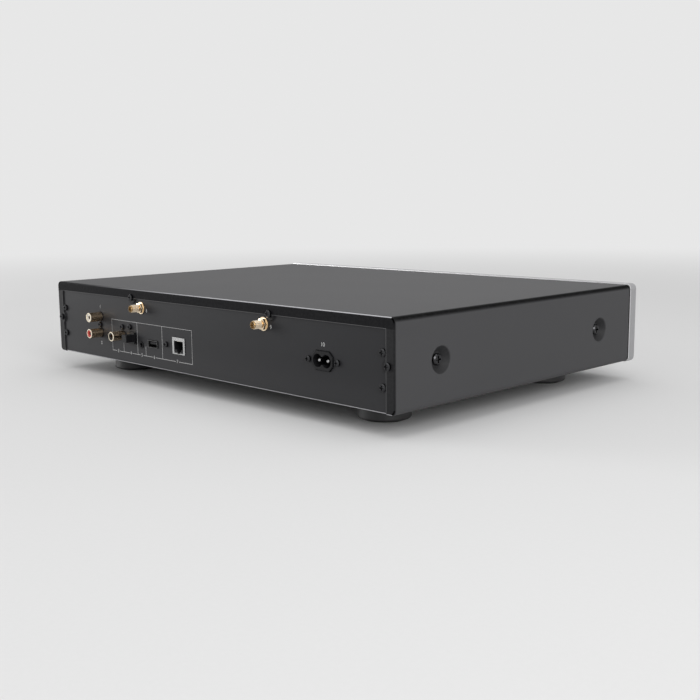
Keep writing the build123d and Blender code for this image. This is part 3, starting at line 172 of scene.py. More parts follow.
def close_finish(tree, colour, roughness, height, depth, metallic=0.0, coat=0.0, gloss=0.5, matt=None):
    """The shader and the output: what varies is linked, and what doesn't is set on its socket."""
    bump = tree.node("ShaderNodeBump", None, {"Height": height, "Distance": depth, "Strength": 1.0})
    sockets = {
        "Base Color": colour,
        "Roughness": roughness,
        "Metallic": metallic,
        "Coat Weight": coat,
        "Specular IOR Level": gloss,
        "Normal": bump,
    }
    shader = tree.node("ShaderNodeBsdfPrincipled", None, sockets)
    # Where the matt mask is set, a copy without gloss is mixed in; on the cover this is painted shade.
    if matt:
        dull = tree.node("ShaderNodeBsdfPrincipled", None, {**sockets, "Specular IOR Level": 0.0})
        shader = tree.node("ShaderNodeMixShader", None, {0: matt, 1: shader, 2: dull})
    tree.node("ShaderNodeOutputMaterial", None, {"Surface": shader})


def powder_coat(name, colour, shade, roughness, layers):
    """Satin paint, finely textured and slightly cloudy, under its matt mask, which mixes in a copy
    without gloss, and its (mask, colour) layers; the cover's and the wall's layers are mostly painted
    shade, painted light and painted highlights.
    """
    material, tree, place = start_finish(name)
    clouds = noise(place, 7, 3)
    speck = noise(place, 1900)
    peel = noise(place, 480)
    mixed = tree.blend(clouds * 0.5 + speck * 0.5, colour, shade)
    matt, covers = layers(place)
    for mask, other in covers:
        mixed = tree.blend(mask * (peel * 0.3 + 0.8), mixed, other)
    grain = speck * 0.6 + peel * 0.4
    rough = clouds * 0.06 + speck * 0.1 + roughness - 0.08
    close_finish(tree, mixed, rough, grain, 0.02 * mm, gloss=0.16, matt=matt)
    return material


def drawn_metal(name, colour, shade, roughness, stretch, depth=0.004):
    """Bare or plated metal with fine lines along its stretch, uneven gloss and a few dull patches."""
    material, tree, place = start_finish(name)
    lines = noise(place, 1500, 3, stretch)
    patches = noise(place, 60, 3)
    mixed = tree.blend(lines * 0.6 + patches * 0.4, colour, shade)
    close_finish(tree, mixed, lines * 0.12 + patches * 0.14 + roughness - 0.13, lines, depth * mm, 1.0)
    return material


def moulding(name, colour, shade, roughness, grain=900, depth=0.012, coat=0.0, gloss=0.5):
    """Moulded plastic or rubber with a fine spark grain."""
    material, tree, place = start_finish(name)
    skin = noise(place, grain, 3)
    flow = noise(place, 45)
    mixed = tree.blend(skin * 0.4 + flow * 0.6, colour, shade)
    rough = skin * 0.1 + flow * 0.1 + roughness - 0.1
    close_finish(tree, mixed, rough, skin, depth * mm, coat=coat, gloss=gloss)
    return material


def tint(red, green, blue):
    """An opaque colour."""
    return (red, green, blue, 1.0)


def worn_fold(first, second, radius):
    """A mask for a painted highlight on the middle of a bend, from the distances to the two faces that it
    joins.
    """
    return between(first + second, -mm, 0.64 * radius, 0.04 * radius)


def cover_layers(place):
    """The sleeve's painted shade and highlights: dark bends, rear face, dishes and front edge, with the
    gloss taken off the bends, front edge and top flange; its dark corner reliefs; and painted highlights
    along its rear folds and flange edges.
    """
    low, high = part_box("top_cover")
    x, y, z = axes(place)
    side = high.x - x.maths("ABSOLUTE", x)
    from_rear = high.y - y
    from_top = high.z - z
    # Painted shade: the rear face of the sleeve is darker than its top and sides.
    rear_face_shade = between(from_rear, -mm, 0.9 * mm, 0.5 * mm)
    # Painted shade: a dark band along the bends between the top and the sides.
    bend = between(side + from_top, -mm, 3.1 * mm, 0.9 * mm)
    # Painted shade in the dished recesses of the sides.
    dish_shade = between(side, 0.5 * mm, 8 * mm, 0.4 * mm) * between(from_top, 12 * mm, 54 * mm, mm)
    dish_shade = dish_shade * (1 - between(from_rear, -mm, 10 * mm, mm))
    # Painted highlights along the rear folds, pale like bared metal; the top one only where X is below 80
    # mm.
    top_fold = worn_fold(from_top, from_rear, rear_bend) * between(x, -beyond, 0.08, 0.12)
    low_fold = worn_fold(z - low.z, from_rear, rear_bend)
    # Painted shade in the gap between the sleeve's front edge and the panel.
    front_gap_shade = between(y, low.y - mm, low.y + 0.7 * mm, 0.2 * mm)
    # Painted highlights along the inner edges of the flange, on its outer face.
    outer_face = between(from_rear, -mm, 0.1 * mm, 0.05 * mm)
    below_lip = between(from_top, flange - 0.3 * mm, beyond, 0.05 * mm)
    past_lip = between(side, flange - 0.3 * mm, beyond, 0.05 * mm)
    top_edge = between(from_top, flange - 0.3 * mm, flange, 0.05 * mm) * past_lip
    side_edge = between(side, flange - 0.3 * mm, flange, 0.05 * mm) * below_lip
    corner = z.maths("MINIMUM", from_top, z - low.z)
    across, down = cover_bend - side, cover_bend - corner
    turn_radius = z.maths("SQRT", across * across + down * down)
    in_corner = between(side, -mm, cover_bend, 0.2 * mm) * between(corner, -mm, cover_bend, 0.2 * mm)
    behind = between(from_rear, -mm, 0.4 * mm, 0.1 * mm)
    relief = between(turn_radius, 2.5 * mm, 3.8 * mm, 0.2 * mm) * in_corner * behind
    # The matt mask takes the gloss off as painted shade: on the bends, the front edge, the top flange and
    # the corner reliefs.
    top_flange = between(from_top, -mm, flange, 0.2 * mm) * rear_face_shade
    shaded = z.maths("MAXIMUM", bend * 0.9, front_gap_shade * 0.8)
    matt = z.maths("MAXIMUM", z.maths("MAXIMUM", shaded, top_flange * 0.7), relief)
    return matt, [
        (rear_face_shade, tint(0.008, 0.008, 0.009)),
        (bend, tint(0.004, 0.004, 0.004)),
        (relief, tint(0.001, 0.001, 0.001)),
        (dish_shade * 0.9, tint(0.02, 0.02, 0.021)),
        (front_gap_shade * 0.9, tint(0.006, 0.006, 0.006)),
        (top_fold + low_fold, tint(0.5, 0.5, 0.52)),
        ((top_edge + side_edge) * outer_face * 0.6, tint(0.2, 0.2, 0.205)),
    ]


def wall_layers(place):
    """The rear wall's paler lower half, which is painted light, and a painted highlight along the fold
    under it.
    """
    low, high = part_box("chassis_tray")
    y, z = axes(place)[1:]
    # Painted light: the lower half of the wall is paler.
    lower = between(z, low.z - mm, low.z + 12 * mm, 16 * mm)
    # Painted highlight along the fold under the wall.
    fold = worn_fold(z - low.z, high.y - y, tray_bend)
    return None, [(lower * 0.6, tint(0.036, 0.036, 0.038)), (fold, tint(0.5, 0.5, 0.52))]


def circuit_board(name, node):
    """Solder resist over fine tracks up to the board's top, and dark parts above it."""
    material, tree, place = start_finish(name)
    board_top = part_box(node)[0].z + board_thickness
    x, y, z = axes(place)
    cells = place.node("ShaderNodeVectorMath", {"operation": "SCALE"}, {0: place, "Scale": cell_rate})
    snapped = cells.node("ShaderNodeVectorMath", {"operation": "FLOOR"}, {0: cells})
    chance = snapped.node("ShaderNodeTexWhiteNoise", None, {"Vector": snapped})
    along = x.maths("GREATER_THAN", x.maths("FRACT", x * track_rate), track_gap)
    across = y.maths("GREATER_THAN", y.maths("FRACT", y * track_rate), track_gap)
    turned = chance.maths("GREATER_THAN", chance, 0.5)
    tracks = turned * along + (1 - turned) * across
    used = chance.maths("GREATER_THAN", chance.maths("FRACT", chance * 7), bare_share)
    speck = noise(place, 700)
    resist = tree.blend(tracks * used, tint(0.012, 0.085, 0.035), tint(0.03, 0.19, 0.08))
    parts = tree.blend(speck, tint(0.018, 0.018, 0.02), tint(0.045, 0.045, 0.05))
    above = z.maths("GREATER_THAN", z, board_top + 0.05 * mm)
    close_finish(
        tree,
        tree.blend(above, resist, parts),
        speck * 0.12 + above * 0.2 + 0.24,
        tracks * used * (1 - above) + speck * 0.3,
        0.03 * mm,
    )
    return material


def rimmed_metal(name, highlight_start, colour, shade, pale, roughness, stretch, depth=0.001):
    """Metal with fine lines along its stretch, and a painted highlight on the rim at its rear."""
    material, tree, place = start_finish(name)
    # Painted highlight: the rim from this depth to the rear is pale.
    rim = between(axes(place)[1], highlight_start, beyond, 0.1 * mm)
    lines = noise(place, 1500, 3, stretch)
    mixed = tree.blend(rim, tree.blend(lines, colour, shade), pale)
    close_finish(tree, mixed, lines * 0.1 + roughness, lines, depth * mm, 1.0)
    return material


def phono_gold(name, node):
    """Dull gold on a phono socket's barrel, with a painted highlight on the rim round its mouth."""
    dull, shade, pale = tint(0.74, 0.56, 0.38), tint(0.86, 0.68, 0.48), tint(0.95, 0.85, 0.68)
    return rimmed_metal(name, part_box(node)[1].y - 0.45 * mm, dull, shade, pale, 0.14, (1, 0.3, 1))


def threaded_gold(name, node):
    """Pale gold plating on a threaded socket, with painted shade down in its grooves and its bore."""
    material, tree, place = start_finish(name)
    low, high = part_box(node)
    middle = ((low.x + high.x) / 2, 0, (low.z + high.z) / 2)
    out = place.node("ShaderNodeVectorMath", {"operation": "SUBTRACT"}, {0: place, 1: middle})
    flat = out.node("ShaderNodeVectorMath", {"operation": "MULTIPLY"}, {0: out, 1: (1, 0, 1)})
    radius = flat.node("ShaderNodeVectorMath", {"operation": "LENGTH"}, {0: flat}, "Value")
    # Painted shade: everything below the thread's crests is dark gold.
    crest = between(radius, barrel_core + 0.12 * mm, beyond, 0.08 * mm)
    lines = noise(place, 1500, 3, (1, 0.3, 1))
    groove = tree.blend(lines, tint(0.36, 0.23, 0.1), tint(0.46, 0.31, 0.15))
    plated = tree.blend(lines, tint(0.88, 0.75, 0.58), tint(0.93, 0.83, 0.68))
    close_finish(tree, tree.blend(crest, groove, plated), lines * 0.1 + 0.2, lines, 0.001 * mm, 1.0)
    return material


def shielded_module():
    """The plug-in module: solder resist below, bright tin on its can."""
    material, tree, place = start_finish("module tin and resist")
    low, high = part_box("network_module")
    height = axes(place)[2]
    can = height.maths("GREATER_THAN", height, low.z + (high.z - low.z) * 0.68)
    speck = noise(place, 800)
    mixed = tree.blend(can, tint(0.015, 0.1, 0.045), tint(0.62, 0.62, 0.6))
    close_finish(tree, mixed, speck * 0.15 + 0.25, speck, 0.01 * mm, can)
    return material


def capacitor_sleeve():
    """Shrunk sleeves with a pale stripe, and bare aluminium tops."""
    material, tree, place = start_finish("capacitor sleeve")
    low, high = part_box("power_capacitors")
    x, y, z = axes(place)
    top = z.maths("GREATER_THAN", z, high.z - 0.7 * mm)
    stripe = x.maths("LESS_THAN", x, low.x + 1.2 * mm) * (1 - top)
    speck = noise(place, 900)
    sleeve = tree.blend(speck, tint(0.012, 0.014, 0.03), tint(0.02, 0.022, 0.04))
    marked = tree.blend(stripe, sleeve, tint(0.5, 0.5, 0.5))
    close_finish(
        tree, tree.blend(top, marked, tint(0.6, 0.6, 0.6)), speck * 0.1 + 0.28, speck, 0.01 * mm, top
    )
    return material


def ribbon_strands():
    """Grey strands side by side, the first one red."""
    material, tree, place = start_finish("ribbon strands")
    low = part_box("ribbon_cable")[0]
    across = axes(place)[0]
    strand = across.maths("SINE", (across - low.x) * (tau / strand_pitch))
    speck = noise(place, 600)
    grey = tree.blend(strand * 0.3 + speck * 0.4 + 0.3, tint(0.3, 0.3, 0.31), tint(0.5, 0.5, 0.51))
    first = across.maths("LESS_THAN", across, low.x + strand_pitch)
    close_finish(
        tree, tree.blend(first, grey, tint(0.45, 0.03, 0.03)), speck * 0.1 + 0.42, strand, 0.12 * mm
    )
    return material


def wound_tape():
    """Layers of smooth yellow tape."""
    material, tree, place = start_finish("winding tape")
    height = axes(place)[2]
    waver = noise(place, 40)
    layers = height.maths("SINE", height * 3600 + waver * 3)
    speck = noise(place, 500)
    mixed = tree.blend(layers * 0.3 + speck * 0.4 + 0.3, tint(0.5, 0.37, 0.08), tint(0.7, 0.56, 0.18))
    close_finish(tree, mixed, speck * 0.12 + 0.3, layers, 0.05 * mm)
    return material


def light_guide():
    """Clear plastic, slightly milky."""
    material, tree, place = start_finish("light guide")
    speck = noise(place, 500)
    mixed = tree.blend(speck, tint(0.72, 0.75, 0.78), tint(0.82, 0.84, 0.86))
    close_finish(tree, mixed, speck * 0.1 + 0.12, speck, 0.01 * mm, 0.0, 0.4)
    return material


def screen_print():
    """Pale ink, slightly uneven."""
    material, tree, place = start_finish("screen print ink")
    speck = noise(place, 1600)
    mixed = tree.blend(speck, tint(0.42, 0.42, 0.42), tint(0.58, 0.58, 0.58))
    close_finish(tree, mixed, speck * 0.12 + 0.5, speck, 0.005 * mm)
    return material


finishes = {
    "cover_paint": powder_coat(
        "cover powder coat", tint(0.053, 0.053, 0.055), tint(0.064, 0.064, 0.067), 0.54, cover_layers
    ),
    "rear_paint": powder_coat(
        "rear wall coat", tint(0.016, 0.016, 0.018), tint(0.023, 0.023, 0.025), 0.5, wall_layers
    ),
    "panel_metal": drawn_metal(
        "panel anodising", tint(0.4, 0.4, 0.41), tint(0.47, 0.47, 0.48), 0.42, (0.03, 1, 1)
    ),
    "button_metal": drawn_metal(
        "button anodising", tint(0.36, 0.36, 0.37), tint(0.43, 0.43, 0.44), 0.36, (0.05, 1, 1)
    ),
    "zinc_steel": drawn_metal(
        "zinc plated sheet", tint(0.48, 0.48, 0.49), tint(0.62, 0.62, 0.61), 0.36, (1, 0.15, 1), 0.008
    ),
    "black_screw_steel": drawn_metal(
        "black zinc", tint(0.03, 0.03, 0.032), tint(0.065, 0.065, 0.068), 0.19, (1, 1, 1)
    ),
    "bright_screw_steel": drawn_metal(
        "bright zinc", tint(0.45, 0.45, 0.46), tint(0.58, 0.58, 0.57), 0.3, (1, 1, 1)
    ),
    "gold_plating": drawn_metal(
        "gold plating", tint(0.83, 0.67, 0.47), tint(0.9, 0.76, 0.57), 0.2, (1, 0.3, 1), 0.001
    ),
    "tin_plating": drawn_metal(
        "tin plating", tint(0.37, 0.37, 0.37), tint(0.47, 0.47, 0.47), 0.26, (1, 0.2, 1)
    ),
    "black_plastic": moulding(
        "black moulding", tint(0.006, 0.006, 0.007), tint(0.012, 0.012, 0.013), 0.42, gloss=0.15
    ),
    "foot_plastic": moulding(
        "foot moulding", tint(0.022, 0.022, 0.023), tint(0.038, 0.038, 0.039), 0.52, 700, 0.02
    ),
    "white_plastic": moulding(
        "white insulator", tint(0.72, 0.71, 0.66), tint(0.82, 0.81, 0.77), 0.28, 400, 0.006, 0.2
    ),
    "red_plastic": moulding(
        "red insulator", tint(0.46, 0.02, 0.018), tint(0.6, 0.04, 0.035), 0.28, 400, 0.006, 0.2
    ),
    "pad_rubber": moulding(
        "foot pad rubber", tint(0.014, 0.014, 0.014), tint(0.03, 0.03, 0.03), 0.72, 500, 0.04
    ),
    "lead_insulation": moulding(
        "lead insulation", tint(0.03, 0.03, 0.032), tint(0.055, 0.055, 0.057), 0.4, 500, 0.01
    ),
    "board_laminate": circuit_board("main board laminate", "main_board"),
    "winding_tape": wound_tape(),
    "clear_plastic": light_guide(),
    "ribbon_insulation": ribbon_strands(),
}
own_finish = {
    # The pale rear rim of the front panel is a painted highlight.
    "front_panel": rimmed_metal(
        "front panel anodising",
        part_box("top_cover")[0].y - 2.0 * mm,
        tint(0.4, 0.4, 0.41),
        tint(0.47, 0.47, 0.48),
        tint(0.8, 0.8, 0.81),
        0.37,
        (0.03, 1, 1),
        0.004,
    ),
    "power_board": circuit_board("power board laminate", "power_board"),
    "button_board": moulding(
        "button board laminate", tint(0.012, 0.085, 0.035), tint(0.03, 0.15, 0.06), 0.3, 300
    ),
    "network_module": shielded_module(),
    "power_capacitors": capacitor_sleeve(),
    "rca_pair_contacts": phono_gold("phono gold", "rca_pair_contacts"),
    "coax_jack_contacts": phono_gold("coaxial gold", "coax_jack_contacts"),
    "usb_socket_shell": drawn_metal(
        "dull tin", tint(0.06, 0.06, 0.06), tint(0.11, 0.11, 0.11), 0.34, (1, 0.2, 1)
    ),
}
ink = screen_print()


def dress(shape, material):
    """Give a mesh its one material."""
    shape.materials.clear()
    shape.materials.append(material)


def place_piece(name, mesh, slot, material=None, replaced=(), body="case"):
    """Put a finished mesh in the scene on its body, with its finish, in place of CAD nodes."""
    made = bpy.data.objects.new(name, mesh)
    bpy.context.collection.objects.link(made)
    dress(mesh, material or finishes[slot])
    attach(made, body)
    if replaced:
        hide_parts(*replaced)
    return made


def mesh_from(shape, name, sharp=35):
    """Close a bmesh into a mesh, smooth but for edges sharper than the angle."""
    mesh = bpy.data.meshes.new(name)
    bmesh.ops.recalc_face_normals(shape, faces=shape.faces)
    shape.to_mesh(mesh)
    shape.free()
    mesh.shade_smooth()
    mesh.set_sharp_from_angle(angle=radians(sharp))
    return mesh


def turn(shape, profile, x, z):
    """Add a turned body about the Y line through (x, z), from its profile of (radius, y) pole to pole."""
    rings = []
    for radius, y in profile:
        if radius == 0:
            rings.append([shape.verts.new((x, y, z))] * round_steps)
        else:
            turns = [tau * step / round_steps for step in range(round_steps)]
            rings.append([shape.verts.new((x + radius * cos(a), y, z + radius * sin(a))) for a in turns])
    for near, far in zip(rings, rings[1:]):
        for step in range(round_steps):
            after = (step + 1) % round_steps
            corners = [near[step], near[after], far[after], far[step]]
            shape.faces.new(list(dict.fromkeys(corners)))


def prism(shape, sides, radius, x, z, front, back, rim):
    """Add a bar of this many sides along Y, its corners turned down by the rim at its front."""
    place = Matrix.Translation((x, (front + back) / 2, z)) @ Matrix.Rotation(pi / 2, 4, "X")
    place = place @ Matrix.Rotation(pi / sides, 4, "Z")
    bar = bmesh.new()
    bmesh.ops.create_cone(
        bar,
        cap_ends=True,
        segments=sides,
        radius1=radius,
        radius2=radius,
        depth=abs(front - back),
        matrix=place,
    )
    rims = [edge for edge in bar.edges if all(abs(vert.co.y - front) < 0.01 * mm for vert in edge.verts)]
    bmesh.ops.bevel(bar, geom=rims, offset=rim, segments=2, profile=0.5, affect="EDGES")
    add_in_order(shape, bar)


def add_in_order(shape, part):
    """Move the part's faces into the shape, sorted, because a bevel's order differs from run to run."""
    verts = sorted(part.verts, key=lambda vert: tuple(vert.co))
    rank = {vert: index for index, vert in enumerate(verts)}
    rings = []
    for face in part.faces:
        ring = [rank[vert] for vert in face.verts]
        first = ring.index(min(ring))
        rings.append(ring[first:] + ring[:first])
    moved = [shape.verts.new(vert.co) for vert in verts]
    for ring in sorted(rings):
        shape.faces.new([moved[index] for index in ring])
    part.free()


def start_recipe(name, inputs):
    """A geometry tree with named inputs, and a wire for each of them."""
    tree = bpy.data.node_groups.new(name, "GeometryNodeTree")
    tree.interface.new_socket(name="Geometry", in_out="OUTPUT", socket_type="NodeSocketGeometry")
    tree.interface.new_socket(name="Geometry", in_out="INPUT", socket_type="NodeSocketGeometry")
    for label, kind in inputs.items():
        tree.interface.new_socket(name=label, in_out="INPUT", socket_type=f"NodeSocket{kind}")
    entry = tree.nodes.new("NodeGroupInput")
    return tree, {socket.name: Wire(tree, socket) for socket in entry.outputs if socket.name}


def close_recipe(shape, material):
    """Realize what the recipe made, set its material and hand it out."""
    real = shape.node("GeometryNodeRealizeInstances", None, {"Geometry": shape})
    finished = real.node("GeometryNodeSetMaterial", None, {"Geometry": real, "Material": material})
    finished.node("NodeGroupOutput", None, {"Geometry": finished})


def run_recipe(recipe, values, guide=None):
    """Run a recipe on a guide mesh and give the plain mesh that it makes."""
    holder = bpy.data.objects.new("holder", guide or bpy.data.meshes.new("guide"))
    bpy.context.collection.objects.link(holder)
    modifier = holder.modifiers.new("recipe", "NODES")
    modifier.node_group = recipe
    for item in recipe.interface.items_tree:
        if item.in_out == "INPUT" and item.name in values:
            modifier[item.identifier] = values[item.name]
    evaluated = holder.evaluated_get(bpy.context.evaluated_depsgraph_get())
    mesh = bpy.data.meshes.new_from_object(evaluated)
    holder.modifiers.remove(modifier)
    bpy.data.objects.remove(holder)
    return mesh


def thread_recipe():
    """A screw thread along Z: a ridge of diamond section on a spiral."""
    tree, given = start_recipe(
        "screw thread",
        {
            "Radius": "Float",
            "Pitch": "Float",
            "Length": "Float",
            "Ridge": "Float",
            "Material": "Material",
        },
    )
    spiral = given["Radius"].node(
        "GeometryNodeCurveSpiral",
        None,
        {
            "Resolution": 36,
            "Rotations": given["Length"] / given["Pitch"],
            "Start Radius": given["Radius"],
            "End Radius": given["Radius"],
            "Height": given["Length"],
        },
    )
    upright = spiral.node("GeometryNodeSetCurveNormal", {"mode": "Z_UP"}, {"Curve": spiral})
    section = spiral.node(
        "GeometryNodeCurvePrimitiveCircle",
        {"mode": "RADIUS"},
        {"Resolution": 4, "Radius": given["Ridge"]},
    )
    ridge = upright.node(
        "GeometryNodeCurveToMesh", None, {"Curve": upright, "Profile Curve": section, "Fill Caps": True}
    )
    close_recipe(ridge, given["Material"])
    return tree


def contact_recipe():
    """A row of sprung contacts along X, each a bent wire through three points."""
    tree, given = start_recipe(
        "contact row",
        {
            "Count": "Int",
            "Pitch": "Float",
            "Wire radius": "Float",
            "Start": "Vector",
            "Middle": "Vector",
            "End": "Vector",
            "Material": "Material",
        },
    )
    bend = given["Start"].node(
        "GeometryNodeCurveQuadraticBezier",
        None,
        {"Resolution": 8, "Start": given["Start"], "Middle": given["Middle"], "End": given["End"]},
    )
    section = bend.node(
        "GeometryNodeCurvePrimitiveCircle",
        {"mode": "RADIUS"},
        {"Resolution": 8, "Radius": given["Wire radius"]},
    )
    wire = bend.node(
        "GeometryNodeCurveToMesh", None, {"Curve": bend, "Profile Curve": section, "Fill Caps": True}
    )
    smooth = wire.node("GeometryNodeSetShadeSmooth", None, {"Geometry": wire})
    step = bend.node("ShaderNodeCombineXYZ", None, {"X": given["Pitch"]})
    first = bend.node("ShaderNodeCombineXYZ", None, {"X": (given["Count"] - 1) * given["Pitch"] * -0.5})
    row = bend.node(
        "GeometryNodeMeshLine",
        {"mode": "OFFSET"},
        {"Count": given["Count"], "Start Location": first, "Offset": step},
    )
    wires = row.node("GeometryNodeInstanceOnPoints", None, {"Points": row, "Instance": smooth})
    close_recipe(wires, given["Material"])
    return tree


def print_recipe():
    """Printed lines along a guide's edges, in the XZ plane and pressed flat along Y."""
    tree, given = start_recipe(
        "printed lines", {"Width": "Float", "Proud": "Float", "Material": "Material"}
    )
    path = given["Geometry"].node("GeometryNodeMeshToCurve", None, {"Mesh": given["Geometry"]})
    section = path.node(
        "GeometryNodeCurvePrimitiveCircle",
        {"mode": "RADIUS"},
        {"Resolution": 8, "Radius": given["Width"] * 0.5},
    )
    line = path.node(
        "GeometryNodeCurveToMesh", None, {"Curve": path, "Profile Curve": section, "Fill Caps": True}
    )
    flat = path.node(
        "ShaderNodeCombineXYZ", None, {"X": 1.0, "Y": given["Proud"] / (given["Width"] * 0.5), "Z": 1.0}
    )
    pressed = line.node("GeometryNodeTransform", None, {"Geometry": line, "Scale": flat})
    close_recipe(pressed, given["Material"])
    return tree


# The finish of each CAD node
for name, node in nodes.items():
    dress(node.data, own_finish.get(name, finishes[slot_of[name]]))

# Antenna sockets: threaded barrels through hexagonal nuts
thread = thread_recipe()
nut_low, nut_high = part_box("antenna_nuts")
wall_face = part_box("chassis_tray")[1].y
for side in ("left", "right"):
    node = f"antenna_socket_{side}"
    low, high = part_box(node)
    x, z = (low.x + high.x) / 2, (low.z + high.z) / 2
    barrel = bmesh.new()
    root = wall_face - collar_back
    profile = [
        (0, low.y),
        (tail_radius, low.y),
        (tail_radius, root),
        (barrel_core, root),
        (barrel_core, high.y - 0.35 * mm),
        (barrel_core - 0.25 * mm, high.y),
        (barrel_mouth, high.y),
        (barrel_mouth, high.y - bore_depth),
        (pin_radius, high.y - bore_depth),
        (pin_radius, high.y - pin_inset - 0.2 * mm),
        (pin_radius - 0.15 * mm, high.y - pin_inset),
        (pin_bore, high.y - pin_inset),
        (pin_bore, high.y - pin_bore_depth),
        (0, high.y - pin_bore_depth),
    ]
    turn(barrel, profile, x, z)
    corner_radius = (high.z - low.z) / 2 / cos(pi / 6)
    prism(barrel, 6, corner_radius, x, z, wall_face - collar_front, root, 0.2 * mm)
    ridge = run_recipe(
        thread,
        {
            "Radius": barrel_core,
            "Pitch": thread_pitch,
            "Length": high.y - nut_high.y - 1.5 * mm,
            "Ridge": thread_depth,
            "Material": finishes["gold_plating"],
        },
    )
    ridge.transform(Matrix.Translation((x, high.y - 0.7 * mm, z)) @ Matrix.Rotation(pi / 2, 4, "X"))
    barrel.from_mesh(ridge)
    gold = threaded_gold(f"{side} thread gold", node)
    place_piece(f"threaded_socket_{side}", mesh_from(barrel, node), "gold_plating", gold, [node])

nuts = bmesh.new()
seats = bmesh.new()
for side in ("left", "right"):
    low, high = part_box(f"antenna_socket_{side}")
    x, z = (low.x + high.x) / 2, (low.z + high.z) / 2
    corner_radius = (nut_high.z - nut_low.z) / 2 / cos(pi / 6)
    prism(nuts, 6, corner_radius, x, z, nut_high.y, nut_low.y, 0.35 * mm)
    seat_radius = barrel_mouth - 0.05 * mm
    seat = [
        (0, high.y - bore_depth),
        (seat_radius, high.y - bore_depth),
        (seat_radius, high.y - seat_depth - 0.3 * mm),
        (barrel_seat, high.y - seat_depth),
        (0, high.y - seat_depth),
    ]
    turn(seats, seat, x, z)
place_piece("hexagonal_nuts", mesh_from(nuts, "hexagonal_nuts"), "gold_plating", None, ["antenna_nuts"])
place_piece("antenna_insulators", mesh_from(seats, "antenna_insulators"), "white_plastic")

# Contacts in the network and USB sockets
contacts = contact_recipe()
low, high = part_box("ethernet_jack_insert")
mouth_top = low.z + 10.6 * mm
network_row = run_recipe(
    contacts,
    {
        "Count": 8,
        "Pitch": 1.02 * mm,
        "Wire radius": 0.22 * mm,
        "Start": (0, -1.0 * mm, 0),
        "Middle": (0, -6.5 * mm, -1.0 * mm),
        "End": (0, -11.5 * mm, -3.6 * mm),
        "Material": finishes["gold_plating"],
    },
)
network_row.transform(Matrix.Translation(((low.x + high.x) / 2, high.y, mouth_top)))
place_piece("network_contacts", network_row, "gold_plating")
low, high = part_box("usb_socket_tongue")
tongue_row = run_recipe(
    contacts,
    {
        "Count": 4,
        "Pitch": 2.3 * mm,
        "Wire radius": 0.35 * mm,
        "Start": (0, 0, 0),
        "Middle": (0, -4.5 * mm, -0.12 * mm),
        "End": (0, -9 * mm, 0),
        "Material": finishes["gold_plating"],
    },
)
tongue_low = high.z - 2.3 * mm
tongue_row.transform(Matrix.Translation(((low.x + high.x) / 2, high.y - 0.4 * mm, tongue_low)))
place_piece("tongue_contacts", tongue_row, "gold_plating")

# Print: a hairline frame round the digital sockets, and a plain number at each socket and preset
printed = print_recipe()


def centre_of(node):
    """The middle of a CAD node."""
    low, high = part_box(node)
    return (low + high) / 2


def guide_mesh(strokes):
    """Edges along each stroke, a list of (x, z) points."""
    guide = bpy.data.meshes.new("guide")
    corners = [(x, 0, z) for stroke in strokes for x, z in stroke]
    edges = []
    start = 0
    for stroke in strokes:
        edges += [(start + step, start + step + 1) for step in range(len(stroke) - 1)]
        start += len(stroke)
    guide.from_pydata(corners, edges, [])
    return guide


def numerals(marks, face, facing_rear):
    """The numbers of the marks, a list of (text, x, z), as raised print on the wall at this depth."""
    shape = bmesh.new()
    turned = Matrix.Rotation(pi if facing_rear else 0, 4, "Z") @ Matrix.Rotation(pi / 2, 4, "X")
    for text, x, z in marks:
        letters = bpy.data.curves.new("number", "FONT")
        letters.body = text
        letters.size = numeral_height / 0.73
        letters.extrude = print_proud
        letters.align_x = letters.align_y = "CENTER"
        letters.resolution_u = 6
        holder = bpy.data.objects.new("number", letters)
        bpy.context.collection.objects.link(holder)
        evaluated = holder.evaluated_get(bpy.context.evaluated_depsgraph_get())
        flat = bpy.data.meshes.new_from_object(evaluated)
        bpy.data.objects.remove(holder)
        flat.transform(Matrix.Translation((x, face, z)) @ turned)
        shape.from_mesh(flat)
    return shape


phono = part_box("rca_pair_contacts")
coax = centre_of("coax_jack_contacts")
optical = centre_of("optical_dust_plug")
service = centre_of("service_jack")
usb = centre_of("usb_socket_shell")
network = centre_of("ethernet_jack_shield")
antenna_left = centre_of("antenna_socket_left")
antenna_right = centre_of("antenna_socket_right")
inlet = centre_of("mains_inlet_pins")
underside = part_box("chassis_tray")[0].z
frame_low = underside + 9.3 * mm
frame_high = underside + 36.8 * mm
frame_left = coax.x + 17.2 * mm
frame_right = network.x - 17.8 * mm
half_line = underside + 17.5 * mm
service_left = (optical.x + service.x) / 2 - 0.5 * mm
service_right = (service.x + usb.x) / 2 + 2.6 * mm
network_left = usb.x - 13.1 * mm
coax_optical = (coax.x + optical.x) / 2 + 6.9 * mm
label_places = [
    (frame_left + coax_optical) / 2,
    (coax_optical + service_left) / 2,
    (service_left + service_right) / 2,
    (service_right + network_left) / 2,
    (network_left + frame_right) / 2,
]
base_stops = [frame_left]
for x in label_places:
    base_stops += [x + label_gap / 2, x - label_gap / 2]
base_stops.append(frame_right)
strokes = [
    [
        (frame_left, frame_low),
        (frame_left, frame_high),
        (frame_right, frame_high),
        (frame_right, frame_low),
    ],
    [(coax_optical, frame_low), (coax_optical, half_line)],
    [(service_left, frame_low), (service_left, frame_high)],
    [(service_right, frame_low), (service_right, half_line)],
    [(network_left, frame_low), (network_left, frame_high)],
]
strokes += [
    [(start, frame_low), (stop, frame_low)] for start, stop in zip(base_stops[::2], base_stops[1::2])
]
